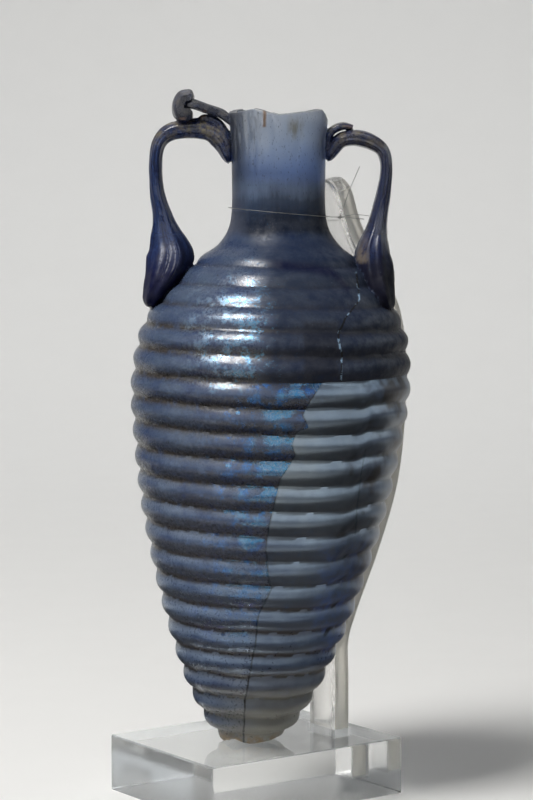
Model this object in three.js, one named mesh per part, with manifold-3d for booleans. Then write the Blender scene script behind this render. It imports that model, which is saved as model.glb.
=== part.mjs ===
// Ribbed blue glass perfume flask with two handles, broken at the mouth and at the tip,
// tied to the clear display stand that holds it upright.
// Millimetres, +Z up, +X to the viewer's right, origin under the middle of the stand's block.

import * as THREE from 'three';
import { mergeVertices } from 'three/addons/utils/BufferGeometryUtils.js';
import Module from 'manifold-3d';

const wasm = await Module();
wasm.setup();

// Gap kept between pieces that touch, and the least distance between two separate corners.
const touchGap = 0.3;
const cornerMerge = 1e-4;

// Stand: a clear block and a bent strip set in a slot in it.
const blockLength = 48.4;
const blockWidth = 38.6;
const blockHeight = 12;
const blockEdge = 0.5;
const blockEdgeSteps = 2;
const standTurn = THREE.MathUtils.degToRad(35.5);
const stripWidth = 9;
const stripThickness = 4;
const slotDepth = 9.5;
const stripTop = 130;
const stripSteps = 40;
const stripTopSteps = 10;
// Middle line of the strip: distance from the block's middle, and height.
const stripLine = [
  [19.4, blockHeight - slotDepth + touchGap], [19.4, 22], [19.4, 31], [22, 38.5], [28, 51.5],
  [32.8, 65], [34.8, 80], [34.9, 92], [32.9, 102], [27.3, 111], [22.9, 119], [20.4, 126], [19.2, 131],
];

// Flask: the axis leans from its foot to its neck.
const flaskFoot = blockHeight + touchGap;
const footAxis = new THREE.Vector2(-1.1, -2.5);
const neckAxis = new THREE.Vector2(4.75, 0);
const neckRoot = 116;
const neckRadius = 9.75;
const roundSteps = 26;
// Outer outline over the rib crests: radius, and height.
const flaskOutline = [
  [6.4, flaskFoot], [8.6, 14.8], [10.8, 17.9], [15.1, 26.2], [20.5, 41.2], [25.8, 61.4], [28.7, 80],
  [29.2, 88], [28.2, 97], [25.4, 103], [20.2, 109], [16.2, 113.4], [12.6, 116.2], [10.5, 119.4],
  [neckRadius, 123.5], [neckRadius, 131], [10, 139], [10.9, 148],
];
const wallThickness = 1.7;
const innerSteps = 22;

// Ribs: evenly spaced along the outline, with rounded crests and narrow grooves.
const ribPitch = 5.3;
const ribDepth = 0.9;
const firstGroove = 2.2;
const ribSamples = 4;
const ribTilt = Math.tan(THREE.MathUtils.degToRad(2));
// Above the shoulder's start the ribs grow weaker, and below the neck's root they die out.
const shoulderStart = 96;
const shoulderEnd = 108;
const shoulderRibs = 0.55;
const lastRibEnd = 112;

// Broken edges: heights round the axis at even steps, from +X by way of the back.
const mouthBreak = [141, 141.8, 143, 143.4, 143.2, 144.6, 143.6, 143.4, 144.3, 142.7, 143.4, 144.3];
const mouthReach = 13;
const tipBreak = [14.2, 13.8, 13.2, 13.6, 12.6, 13.6, 13.2, 12, 13.2, 11.8, 12.8, 13.6];
const tipReach = 9;
const farPast = 14;

// Handles in the plane of the axis: place, half thickness in that plane, and half width across it.
const leftHandle = [
  { at: [-22.3, 102.8], half: [1.5, 5] }, { at: [-21.2, 105.6], half: [2.4, 7.5] },
  { at: [-19.6, 108.8], half: [3.6, 8] }, { at: [-18.3, 111.8], half: [4.6, 7] },
  { at: [-17.7, 114.3], half: [5, 5.6] }, { at: [-17.9, 116.5], half: [4, 4.4] },
  { at: [-18.6, 118.9], half: [2.9, 3.6] }, { at: [-19.3, 121.6], half: [2.1, 3.1] },
  { at: [-20.5, 127], half: [1.5, 2.8] }, { at: [-20.8, 133.3], half: [1.35, 2.8] },
  { at: [-20.1, 137.2], half: [1.5, 2.9] }, { at: [-17.8, 139.4], half: [1.8, 3] },
  { at: [-13.8, 140.2], half: [2, 3.1] }, { at: [-9.8, 140], half: [2.3, 3.3] },
  { at: [-7.2, 138.2], half: [2.4, 3.3] }, { at: [-6, 135.3], half: [1.6, 2.9] },
  { at: [-5.7, 132.9], half: [0.8, 2.1] },
];
const rightHandle = [
  { at: [27.7, 101.6], half: [1.6, 7] }, { at: [26.4, 104.4], half: [2.9, 10.5] },
  { at: [25.1, 108], half: [3.9, 10.3] }, { at: [24.4, 112.4], half: [4.1, 8] },
  { at: [24.6, 116], half: [3.2, 5.4] }, { at: [25.1, 118.8], half: [2.3, 3.8] },
  { at: [25.8, 122.5], half: [1.75, 2.8] }, { at: [26.7, 127.1], half: [1.45, 2.7] },
  { at: [27.2, 132.1], half: [1.25, 2.7] }, { at: [26.5, 135.5], half: [1.35, 2.8] },
  { at: [24.1, 137.4], half: [1.6, 2.9] }, { at: [20.8, 138.3], half: [1.65, 3] },
  { at: [17.8, 137.8], half: [1.6, 3.1] }, { at: [15.9, 135.8], half: [1.5, 2.8] },
  { at: [15, 133.4], half: [0.8, 2.1] },
];
// The end of each handle's trail, pressed on the neck and folded back over the handle.
const leftFold = [
  { at: [-5.6, 134.5], half: [0.7, 2.2] }, { at: [-5.9, 138], half: [1, 2.6] },
  { at: [-7.8, 141.2], half: [1, 2.6] }, { at: [-10.3, 142.3], half: [0.9, 2.4] },
  { at: [-12, 142], half: [0.6, 1.8] },
];
const rightFold = [
  { at: [15, 134], half: [0.7, 2.2] }, { at: [14.9, 137.6], half: [0.9, 2.6] },
  { at: [15.7, 139.6], half: [0.9, 2.6] }, { at: [18, 140.7], half: [0.85, 2.4] },
  { at: [20.4, 140.3], half: [0.6, 1.8] },
];
const handleSteps = 26;
const foldSteps = 7;
const handleSides = 10;

// Rim fragment left standing over the left handle: distance from the neck's axis, and height.
const rimWall = [[9.6, 141.6], [11.8, 143.2], [15, 144.3], [17.9, 145.3], [19.8, 145.4]];
const rimRoll = [[18.7, 147.1], [20.3, 146.7], [21.2, 144.9], [20.8, 143.1], [19, 142.8]];
const rimWallHalf = 0.75;
const rimRollHalf = 0.9;
const rimSpread = THREE.MathUtils.degToRad(15);
const rimSteps = 5;
const rimWallSteps = 6;
const rimRollSteps = 8;

// Thread tied round the neck and the strip.
const threadRadius = 0.2;
const threadHeight = 122.9;
const threadSlope = -0.09;
const threadSides = 6;
const threadStandOff = 0.8;
const threadArcSteps = 20;
const threadSideSteps = 4;
const knotRadius = 0.7;
const threadEnds = [[21.9, 7.6, 132.4], [24, 8, 122]];

const glassMaterial = new THREE.MeshStandardMaterial({ color: 0x2b3d6b, roughness: 0.3, metalness: 0 });
const acrylicMaterial = new THREE.MeshStandardMaterial({ color: 0xdfe3e0, roughness: 0.05, metalness: 0 });
const threadMaterial = new THREE.MeshStandardMaterial({ color: 0xb9b9b4, roughness: 0.4, metalness: 0 });

// A closed geometry becomes a solid once its shared corners are one.
function solidFrom(geometry) {
  const bare = geometry.clone();
  bare.deleteAttribute('normal');
  bare.deleteAttribute('uv');
  const merged = mergeVertices(bare, cornerMerge);
  const mesh = new wasm.Mesh({
    numProp: 3,
    vertProperties: new Float32Array(merged.attributes.position.array),
    triVerts: new Uint32Array(merged.index.array),
  });
  mesh.merge();
  return new wasm.Manifold(mesh);
}

function geometryFrom(solid) {
  const mesh = solid.getMesh();
  const geometry = new THREE.BufferGeometry();
  geometry.setAttribute('position', new THREE.BufferAttribute(mesh.vertProperties, 3));
  geometry.setIndex(new THREE.BufferAttribute(mesh.triVerts, 1));
  geometry.computeVertexNormals();
  return geometry;
}

// Moves every corner of a geometry by a function of its place.
function warp(geometry, move) {
  const position = geometry.attributes.position;
  const point = new THREE.Vector3();
  for (let i = 0; i < position.count; i += 1) {
    point.fromBufferAttribute(position, i);
    move(point);
    position.setXYZ(i, point.x, point.y, point.z);
  }
  return geometry;
}

// A skin over rings of equal length, either closed on itself or capped at both ends.
function skin(rings, closed) {
  const sides = rings[0].length;
  const corners = rings.flat().flatMap((point) => point.toArray());
  const faces = [];
  const spans = closed ? rings.length : rings.length - 1;
  for (let i = 0; i < spans; i += 1) {
    const here = i * sides;
    const next = ((i + 1) % rings.length) * sides;
    for (let j = 0; j < sides; j += 1) {
      const k = (j + 1) % sides;
      faces.push(here + j, here + k, next + k, here + j, next + k, next + j);
    }
  }
  if (!closed) {
    const last = (rings.length - 1) * sides;
    for (let j = 1; j < sides - 1; j += 1) {
      faces.push(0, j + 1, j, last, last + j, last + j + 1);
    }
  }
  const geometry = new THREE.BufferGeometry();
  geometry.setAttribute('position', new THREE.Float32BufferAttribute(corners, 3));
  geometry.setIndex(faces);
  return geometry;
}

// Oval ring of points about a place, square to the direction it travels in.
function ovalRing(centre, along, across, halves, sides) {
  const up = new THREE.Vector3().crossVectors(along, across).normalize();
  const ring = [];
  for (let j = 0; j < sides; j += 1) {
    const angle = (2 * Math.PI * j) / sides;
    const point = centre.clone();
    point.addScaledVector(across, halves[1] * Math.cos(angle));
    point.addScaledVector(up, halves[0] * Math.sin(angle));
    ring.push(point);
  }
  return ring;
}

// Glass trail in the plane of the axis, drawn along its stations.
function drawTrail(stations, steps) {
  const line = new THREE.CatmullRomCurve3(stations.map(({ at }) => new THREE.Vector3(at[0], 0, at[1])));
  const girth = new THREE.CatmullRomCurve3(stations.map(({ half }) => new THREE.Vector3(...half, 0)));
  const across = new THREE.Vector3(0, 1, 0);
  const rings = [];
  for (let i = 0; i <= steps; i += 1) {
    const t = i / steps;
    const half = girth.getPoint(t);
    rings.push(ovalRing(line.getPoint(t), line.getTangent(t), across, [half.x, half.y], handleSides));
  }
  return solidFrom(skin(rings, false));
}

// Flat ribbon of even thickness along a line, as an outline with a square start and end.
function ribbonShape(line, half, steps) {
  const curve = new THREE.SplineCurve(line.map(([x, y]) => new THREE.Vector2(x, y)));
  const left = [];
  const right = [];
  for (let i = 0; i <= steps; i += 1) {
    const point = curve.getPointAt(i / steps);
    const along = curve.getTangentAt(i / steps);
    const side = new THREE.Vector2(-along.y, along.x).multiplyScalar(half);
    left.push(point.clone().add(side));
    right.unshift(point.clone().sub(side));
  }
  return new THREE.Shape([...left, ...right]);
}

// The flask's lean, and the small tilt of its ribs, fading out at the foot and the neck.
function settle(point) {
  const rise = THREE.MathUtils.clamp((point.z - flaskFoot) / (neckRoot - flaskFoot), 0, 1);
  const body = Math.sin(Math.PI * rise) ** 0.5;
  point.z -= ribTilt * body * point.x;
  point.x += THREE.MathUtils.lerp(footAxis.x, neckAxis.x, rise);
  point.y += THREE.MathUtils.lerp(footAxis.y, neckAxis.y, rise);
}

function turnProfile(points) {
  const geometry = new THREE.LatheGeometry(points, roundSteps);
  geometry.rotateX(Math.PI / 2);
  return solidFrom(warp(geometry, settle));
}

const outline = new THREE.SplineCurve(flaskOutline.map(([r, z]) => new THREE.Vector2(r, z)));

function outlineAt(distance) {
  const share = THREE.MathUtils.clamp(distance / outline.getLength(), 0, 1);
  const point = outline.getPointAt(share);
  const along = outline.getTangentAt(share);
  return { point, outward: new THREE.Vector2(along.y, -along.x) };
}

function ribStrength(height) {
  const shoulder = THREE.MathUtils.smoothstep(height, shoulderStart, shoulderEnd);
  const neck = THREE.MathUtils.smoothstep(height, lastRibEnd, neckRoot);
  return THREE.MathUtils.lerp(1, shoulderRibs, shoulder) * (1 - neck);
}

function outerBody() {
  const points = [];
  let distance = 0;
  while (distance < outline.getLength()) {
    const { point, outward } = outlineAt(distance);
    const wave = Math.abs(Math.sin((Math.PI * (distance - firstGroove)) / ribPitch));
    points.push(point.addScaledVector(outward, -ribDepth * ribStrength(point.y) * (1 - wave)));
    const step = point.y > neckRoot ? ribPitch : ribPitch / ribSamples;
    distance += distance === 0 ? firstGroove % step : step;
  }
  const bottom = new THREE.Vector2(0, points[0].y);
  const top = new THREE.Vector2(0, points.at(-1).y);
  return turnProfile([bottom, ...points, top]);
}

function innerSpace() {
  const points = [];
  for (let i = 0; i <= innerSteps; i += 1) {
    const { point, outward } = outlineAt((outline.getLength() * i) / innerSteps);
    points.push(point.addScaledVector(outward, -wallThickness));
  }
  const first = points[0];
  const last = points.at(-1);
  const below = new THREE.Vector2(first.x, first.y - farPast);
  const above = new THREE.Vector2(last.x, last.y + farPast);
  const bottom = new THREE.Vector2(0, below.y);
  const top = new THREE.Vector2(0, above.y);
  return turnProfile([bottom, below, ...points, above, top]);
}

// Everything past a ragged line round the axis, upwards or downwards, to be taken away.
function brokenAway(heights, axis, reach, towards) {
  const ring = (radius, heightOf) => heights.map((height, i) => {
    const angle = (2 * Math.PI * i) / heights.length;
    const place = new THREE.Vector2(Math.cos(angle), Math.sin(angle)).multiplyScalar(radius).add(axis);
    return new THREE.Vector3(place.x, place.y, heightOf(height));
  });
  const mean = heights.reduce((sum, height) => sum + height) / heights.length;
  const middle = ring(reach / heights.length, () => mean);
  const edge = ring(reach, (height) => height);
  const far = ring(reach, () => mean + towards * farPast);
  const rings = [middle, edge, far];
  return solidFrom(skin(towards > 0 ? rings : rings.reverse(), false));
}

function rimPiece(line, half, steps) {
  const shape = ribbonShape(line, half, steps);
  const geometry = new THREE.ExtrudeGeometry(shape, { depth: 1, steps: rimSteps, bevelEnabled: false });
  warp(geometry, (point) => {
    const angle = Math.PI + rimSpread * (1 - 2 * point.z);
    const reach = point.x;
    point.set(neckAxis.x + reach * Math.cos(angle), reach * Math.sin(angle), point.y);
  });
  return solidFrom(geometry);
}

function glassFlask() {
  let solid = outerBody();
  [[leftHandle, handleSteps], [rightHandle, handleSteps], [leftFold, foldSteps], [rightFold, foldSteps]]
    .forEach(([stations, steps]) => {
      solid = solid.add(drawTrail(stations, steps));
    });
  const space = innerSpace();
  solid = solid.subtract(space);
  solid = solid.subtract(brokenAway(mouthBreak, neckAxis, mouthReach, 1));
  solid = solid.subtract(brokenAway(tipBreak, footAxis, tipReach, -1));
  const rim = rimPiece(rimWall, rimWallHalf, rimWallSteps).add(rimPiece(rimRoll, rimRollHalf, rimRollSteps));
  solid = solid.add(rim.subtract(space));
  return geometryFrom(solid);
}

// Room for the strip's foot, on the stand's own axes: X out along the block, Z up.
function slotSpace() {
  const slot = new THREE.BoxGeometry(
    stripThickness + 2 * touchGap,
    stripWidth + 2 * touchGap,
    slotDepth * 2,
  );
  slot.translate(stripLine[0][0], 0, blockHeight);
  return solidFrom(slot);
}

function standBlock() {
  const long = blockLength / 2 - blockEdge;
  const wide = blockWidth / 2 - blockEdge;
  const plan = new THREE.Shape();
  plan.moveTo(-long, -wide);
  plan.lineTo(long, -wide);
  plan.lineTo(long, wide);
  plan.lineTo(-long, wide);
  const geometry = new THREE.ExtrudeGeometry(plan, {
    depth: blockHeight - 2 * blockEdge,
    bevelThickness: blockEdge,
    bevelSize: blockEdge,
    bevelSegments: blockEdgeSteps,
  });
  geometry.translate(0, 0, blockEdge);
  return geometryFrom(solidFrom(geometry).subtract(slotSpace()));
}

function standStrip() {
  const side = ribbonShape(stripLine, stripThickness / 2, stripSteps);
  const ribbon = new THREE.ExtrudeGeometry(side, { depth: stripWidth, bevelEnabled: false });
  ribbon.rotateX(Math.PI / 2);
  ribbon.translate(0, stripWidth / 2, 0);
  const half = stripWidth / 2;
  const front = new THREE.Shape();
  front.moveTo(-half, 0);
  front.lineTo(half, 0);
  front.lineTo(half, stripTop - half);
  front.absarc(0, stripTop - half, half, 0, Math.PI);
  const reach = 2 * blockLength;
  const cutter = new THREE.ExtrudeGeometry(front, {
    depth: reach,
    bevelEnabled: false,
    curveSegments: stripTopSteps,
  });
  cutter.rotateX(Math.PI / 2);
  cutter.rotateZ(Math.PI / 2);
  return geometryFrom(solidFrom(ribbon).intersect(solidFrom(cutter)));
}

// How far out the strip's middle line is at a height.
function stripReach(height) {
  const curve = new THREE.SplineCurve(stripLine.map(([x, y]) => new THREE.Vector2(x, y)));
  return curve.getPoints(stripSteps * stripLine.length).findLast((point) => point.y <= height).x;
}

// Plan of the thread's loop: round the neck, and round the strip from one front edge to the other.
function threadPlan() {
  const middle = new THREE.Vector2();
  const reach = stripReach(threadHeight);
  const beside = stripWidth / 2 + touchGap + threadRadius;
  const deep = stripThickness * threadStandOff;
  const corners = [[-deep, -beside], [deep, -beside], [deep, beside], [-deep, beside]]
    .map(([x, y]) => new THREE.Vector2(reach + x, y).rotateAround(middle, standTurn));
  const radius = neckRadius + 2 * touchGap + threadRadius;
  const [start, end] = [corners[0], corners[3]].map((corner, i) => {
    const away = corner.clone().sub(neckAxis);
    const swing = Math.acos(radius / away.length());
    return away.angle() + (i === 0 ? -swing : swing);
  });
  const plan = [];
  for (let i = 0; i <= threadArcSteps; i += 1) {
    const angle = end + ((2 * Math.PI + start - end) * i) / threadArcSteps;
    plan.push(new THREE.Vector2(Math.cos(angle), Math.sin(angle)).multiplyScalar(radius).add(neckAxis));
  }
  const stops = [plan.at(-1), ...corners, plan[0]];
  for (let i = 0; i < stops.length - 1; i += 1) {
    for (let j = 1; j <= threadSideSteps; j += 1) {
      plan.push(stops[i].clone().lerp(stops[i + 1], j / threadSideSteps));
    }
  }
  plan.pop();
  return { plan, knot: corners[0] };
}

function threadPoint({ x, y }) {
  return new THREE.Vector3(x, y, threadHeight + threadSlope * (x - neckAxis.x));
}

function tieThread() {
  const { plan, knot } = threadPlan();
  const route = plan.map(threadPoint);
  const up = new THREE.Vector3(0, 0, 1);
  const round = [threadRadius, threadRadius];
  const rings = route.map((point, i) => {
    const along = route[(i + 1) % route.length].clone().sub(route.at(i - 1)).normalize();
    return ovalRing(point, along, up, round, threadSides);
  });
  let solid = solidFrom(skin(rings, true));
  const tied = threadPoint(knot);
  const bead = new THREE.SphereGeometry(knotRadius, threadSides, threadSides - 1);
  solid = solid.add(solidFrom(bead.translate(...tied.toArray())));
  threadEnds.forEach((place) => {
    const tip = new THREE.Vector3(...place);
    const along = tip.clone().sub(tied).normalize();
    const across = new THREE.Vector3().crossVectors(up, along).normalize();
    const end = [tied, tip].map((point) => ovalRing(point, along, across, round, threadSides));
    solid = solid.add(solidFrom(skin(end, false)));
  });
  return geometryFrom(solid);
}

function piece(name, geometry, material) {
  const mesh = new THREE.Mesh(geometry, material);
  mesh.name = name;
  return mesh;
}

const stand = new THREE.Group();
stand.rotation.z = standTurn;
stand.add(piece('stand_block', standBlock(), acrylicMaterial));
stand.add(piece('stand_strip', standStrip(), acrylicMaterial));

const perfumeFlask = new THREE.Group();
perfumeFlask.add(stand);
perfumeFlask.add(piece('glass_flask', glassFlask(), glassMaterial));
perfumeFlask.add(piece('tie_thread', tieThread(), threadMaterial));

export default perfumeFlask;
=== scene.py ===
# Ribbed glass perfume flask, tied to its clear stand. Metres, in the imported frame.
import math

import bmesh
import bpy
from mathutils import Matrix, Vector
from mathutils.kdtree import KDTree


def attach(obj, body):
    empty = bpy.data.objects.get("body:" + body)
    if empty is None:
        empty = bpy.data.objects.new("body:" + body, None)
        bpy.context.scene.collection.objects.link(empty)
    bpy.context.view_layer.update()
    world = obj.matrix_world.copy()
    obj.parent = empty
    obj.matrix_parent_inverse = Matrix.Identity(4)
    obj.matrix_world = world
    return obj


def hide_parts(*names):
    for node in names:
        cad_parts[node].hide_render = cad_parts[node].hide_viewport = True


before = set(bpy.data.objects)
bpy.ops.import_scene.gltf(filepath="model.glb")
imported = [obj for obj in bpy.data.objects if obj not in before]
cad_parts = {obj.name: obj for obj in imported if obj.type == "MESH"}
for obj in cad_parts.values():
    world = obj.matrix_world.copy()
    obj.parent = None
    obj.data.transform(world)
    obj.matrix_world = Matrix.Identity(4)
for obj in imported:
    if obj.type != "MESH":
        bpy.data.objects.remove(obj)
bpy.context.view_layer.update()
mm = 0.001
quarterTurn = math.pi / 2
fullTurn = 2 * math.pi


# short calls for writing node trees
class Sheet:
    def __init__(self, tree):
        self.tree = tree

    def node(self, kind, **settings):
        made = self.tree.nodes.new(kind)
        for name, value in settings.items():
            setattr(made, name, value)
        return made

    def feed(self, socket, value):
        if isinstance(value, bpy.types.NodeSocket):
            self.tree.links.new(value, socket)
        else:
            socket.default_value = value

    def calc(self, operation, *values):
        made = self.node("ShaderNodeMath", operation=operation)
        for socket, value in zip(made.inputs, values):
            self.feed(socket, value)
        return made.outputs[0]

    def times(self, *values):
        total = values[0]
        for value in values[1:]:
            total = self.calc("MULTIPLY", total, value)
        return total

    def vector(self, operation, first, second=None):
        made = self.node("ShaderNodeVectorMath", operation=operation)
        self.feed(made.inputs[0], first)
        if operation == "SCALE":
            self.feed(made.inputs["Scale"], second)
        elif second is not None:
            self.feed(made.inputs[1], second)
        return made.outputs["Vector"]

    def join(self, x=0.0, y=0.0, z=0.0):
        made = self.node("ShaderNodeCombineXYZ")
        for socket, value in zip(made.inputs, (x, y, z)):
            self.feed(socket, value)
        return made.outputs[0]

    def split(self, vector):
        made = self.node("ShaderNodeSeparateXYZ")
        self.feed(made.inputs[0], vector)
        return made.outputs

    # a value between low and high becomes 0 to 1, held at both ends
    def ramp(self, value, low, high, smooth=False):
        kind = "SMOOTHSTEP" if smooth else "LINEAR"
        made = self.node("ShaderNodeMapRange", interpolation_type=kind, clamp=True)
        for socket, number in zip(made.inputs[:3], (value, low, high)):
            self.feed(socket, number)
        return made.outputs[0]

    def between(self, share, first, second):
        made = self.node("ShaderNodeMix", data_type="FLOAT")
        for socket, value in zip((made.inputs[0], made.inputs[2], made.inputs[3]), (share, first, second)):
            self.feed(socket, value)
        return made.outputs[0]

    def colour(self, share, first, second):
        made = self.node("ShaderNodeMix", data_type="RGBA")
        for socket, value in zip((made.inputs[0], made.inputs[6], made.inputs[7]), (share, first, second)):
            self.feed(socket, value)
        return made.outputs[2]

    def noise(self, place, scale, detail=2.0, rough=0.5):
        made = self.node("ShaderNodeTexNoise", noise_dimensions="3D")
        self.feed(made.inputs["Vector"], place)
        for name, value in (("Scale", scale), ("Detail", detail), ("Roughness", rough)):
            self.feed(made.inputs[name], value)
        return made.outputs[0]

    # jagged line through points that run from 0 to 1 both ways
    def line(self, value, points):
        made = self.node("ShaderNodeFloatCurve")
        curve = made.mapping.curves[0]
        while len(curve.points) < len(points):
            curve.points.new(0.5, 0.5)
        for point, place in zip(curve.points, points):
            point.location = place
            point.handle_type = "VECTOR"
        made.mapping.update()
        self.feed(made.inputs["Value"], value)
        return made.outputs[0]

    # colours at stops from 0 to 1
    def palette(self, value, stops):
        made = self.node("ShaderNodeValToRGB")
        stopList = made.color_ramp.elements
        while len(stopList) < len(stops):
            stopList.new(0.5)
        for stop, (at, tint) in zip(stopList, stops):
            stop.position = at
            stop.color = (*tint, 1.0)
        self.feed(made.inputs[0], value)
        return made.outputs[0]


def startTree(name, inputs):
    tree = bpy.data.node_groups.new(name, "GeometryNodeTree")
    sockets = {}
    for label, kind in inputs:
        sockets[label] = tree.interface.new_socket(label, in_out="INPUT", socket_type="NodeSocket" + kind)
    tree.interface.new_socket("Geometry", in_out="OUTPUT", socket_type="NodeSocketGeometry")
    sheet = Sheet(tree)
    given = {label: socket for (label, _), socket in zip(inputs, sheet.node("NodeGroupInput").outputs)}
    return sheet, given, sockets


# closes the tree: seams merged, shaded smooth, realized, with its material
def endTree(sheet, given, geometry, mergeWithin):
    merge = sheet.node("GeometryNodeMergeByDistance")
    sheet.feed(merge.inputs["Geometry"], geometry)
    sheet.feed(merge.inputs["Distance"], mergeWithin)
    smooth = sheet.node("GeometryNodeSetShadeSmooth")
    sheet.feed(smooth.inputs["Geometry"], merge.outputs[0])
    realize = sheet.node("GeometryNodeRealizeInstances")
    sheet.feed(realize.inputs["Geometry"], smooth.outputs[0])
    paint = sheet.node("GeometryNodeSetMaterial")
    sheet.feed(paint.inputs["Geometry"], realize.outputs[0])
    sheet.feed(paint.inputs["Material"], given["Material"])
    sheet.feed(sheet.node("NodeGroupOutput").inputs[0], paint.outputs[0])


# sets a tree's inputs on a new object and keeps the result as a plain mesh
def growMesh(name, tree, sockets, values):
    seed = bpy.data.objects.new(name, bpy.data.meshes.new(name))
    bpy.context.collection.objects.link(seed)
    modifier = seed.modifiers.new("grow", "NODES")
    modifier.node_group = tree
    for label, value in values.items():
        modifier[sockets[label].identifier] = value
    return settleMesh(seed)


# turns an object with modifiers into a plain mesh
def settleMesh(obj):
    bpy.context.view_layer.update()
    ready = obj.evaluated_get(bpy.context.evaluated_depsgraph_get())
    mesh = bpy.data.meshes.new_from_object(ready)
    mesh.name = obj.name
    obj.modifiers.clear()
    obj.data = mesh
    return obj


def makeObject(name, data):
    obj = bpy.data.objects.new(name, data)
    bpy.context.collection.objects.link(obj)
    return obj


# a line of corners that a tree reads as a smooth curve
def makeChain(name, points, halves=None):
    mesh = bpy.data.meshes.new(name)
    mesh.from_pydata(points, [(i, i + 1) for i in range(len(points) - 1)], [])
    if halves:
        values = mesh.attributes.new("half", "FLOAT_VECTOR", "POINT")
        values.data.foreach_set("vector", [number for half in halves for number in half])
    chain = makeObject(name, mesh)
    chain.hide_render = True
    return chain


def curveFromChain(sheet, chain, resolution):
    info = sheet.node("GeometryNodeObjectInfo")
    sheet.feed(info.inputs["Object"], chain)
    toCurve = sheet.node("GeometryNodeMeshToCurve")
    sheet.feed(toCurve.inputs[0], info.outputs["Geometry"])
    kind = sheet.node("GeometryNodeCurveSplineType", spline_type="CATMULL_ROM")
    sheet.feed(kind.inputs[0], toCurve.outputs[0])
    fine = sheet.node("GeometryNodeSetSplineResolution")
    sheet.feed(fine.inputs[0], kind.outputs[0])
    sheet.feed(fine.inputs["Resolution"], resolution)
    return fine.outputs[0]


def gridShares(sheet, across, along):
    grid = sheet.node("GeometryNodeMeshGrid")
    sheet.feed(grid.inputs["Vertices X"], sheet.calc("ADD", across, 1.0))
    sheet.feed(grid.inputs["Vertices Y"], sheet.calc("ADD", along, 1.0))
    place = sheet.split(sheet.node("GeometryNodeInputPosition").outputs[0])
    return grid.outputs["Mesh"], sheet.calc("ADD", place[0], 0.5), sheet.calc("ADD", place[1], 0.5)


def setPlace(sheet, geometry, place):
    made = sheet.node("GeometryNodeSetPosition")
    sheet.feed(made.inputs["Geometry"], geometry)
    sheet.feed(made.inputs["Position"], place)
    return made.outputs[0]


def keepValue(sheet, geometry, name, value, kind="FLOAT"):
    made = sheet.node("GeometryNodeStoreNamedAttribute", data_type=kind, domain="POINT")
    sheet.feed(made.inputs["Geometry"], geometry)
    sheet.feed(made.inputs["Name"], name)
    sheet.feed(next(s for s in made.inputs if s.name == "Value" and s.enabled), value)
    return made.outputs[0]


def newMaterial(name):
    material = bpy.data.materials.new(name)
    material.use_nodes = True
    sheet = Sheet(material.node_tree)
    shader = material.node_tree.nodes["Principled BSDF"]
    place = sheet.node("ShaderNodeTexCoord").outputs["Object"]
    return material, sheet, shader, place


def bump(sheet, shader, height, distance, strength=1.0):
    made = sheet.node("ShaderNodeBump")
    made.inputs["Strength"].default_value = strength
    made.inputs["Distance"].default_value = distance
    sheet.feed(made.inputs["Height"], height)
    sheet.feed(shader.inputs["Normal"], made.outputs[0])


# Glass of the flask: blue, weathered, with flakes of iridescent film beside the main crack.
# Places are x and height in mm as the front shows them.
glass = {
    "ior": 1.5,
    "absorbColour": (0.05, 0.24, 0.60, 1.0),
    "absorbDensity": 200.0,
    "mainCrack": [
        (13.3, 89.4), (10.5, 85.1), (9.5, 83.1), (10.7, 80.5), (8.3, 79.7), (7.3, 77.1), (8.1, 75.1),
        (6.3, 72.1), (4.9, 70.0), (4.3, 67.0), (2.7, 60.2), (2.1, 55.6), (2.5, 51.4), (3.1, 47.2),
        (0.5, 41.4), (0.1, 36.4), (-1.1, 29.3), (-2.2, 23.0), (-2.6, 12.0),
    ],
    "upperCrack": [(20.6, 110.8), (21.2, 105.4), (18.0, 102.0), (16.5, 98.8), (17.3, 94.8), (17.1, 88.5)],
    "rightCrack": [(22.3, 75.5), (21.4, 70.1), (20.8, 64.9), (20.3, 57.5)],
    "crackSpan": (10.0, 114.0),
    "crackSide": 32.0,
    "crackHalf": 0.13,
    "crackJitter": 0.4,
    "ledge": [(1.3, 113.0), (6.0, 112.3), (11.0, 111.8), (15.1, 111.0), (17.2, 109.4), (18.6, 107.8)],
    "ledgeHalf": 0.9,
    "ledgeStart": 4.0,
    "ledgeEnd": 1.0,
    "spotRagged": 0.8,
    "spotEdge": (1.6, 1.1),
    # how noises shift the edges of neck, shade and rib slopes
    "neckDrift": 3.0,
    "shadedDrift": 8.0,
    "shadedBack": 4.0,
    "neckCloud": 6.0,
    "neckStreak": 3.0,
    "neckBack": 4.5,
    "lowLean": -0.42,
    "slopeLean": 0.13,
    "slopeWander": 0.55,
    # strengths of the painted shade on the rib undersides, the sherd's low end and the handles' wear
    "leftUnder": (0.35, 0.7),
    "rightUnder": 0.8,
    "lowSherd": 0.25,
    "scuffStrength": 0.5,
    "topStrength": 0.85,
    # striations along the handles
    "fibreStretch": (1.0, 1.0, 0.10),
    "fibreNoise": (7.0, 3.0, 0.6),
    # from the neck's foot to its rim
    "neckStops": [
        (0.00, (0.003, 0.006, 0.016)), (0.20, (0.006, 0.011, 0.025)), (0.31, (0.026, 0.044, 0.088)),
        (0.41, (0.160, 0.230, 0.370)), (0.47, (0.285, 0.395, 0.600)), (0.53, (0.400, 0.515, 0.710)),
        (0.72, (0.700, 0.750, 0.800)), (1.00, (0.770, 0.775, 0.765)),
    ],
}
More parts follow.
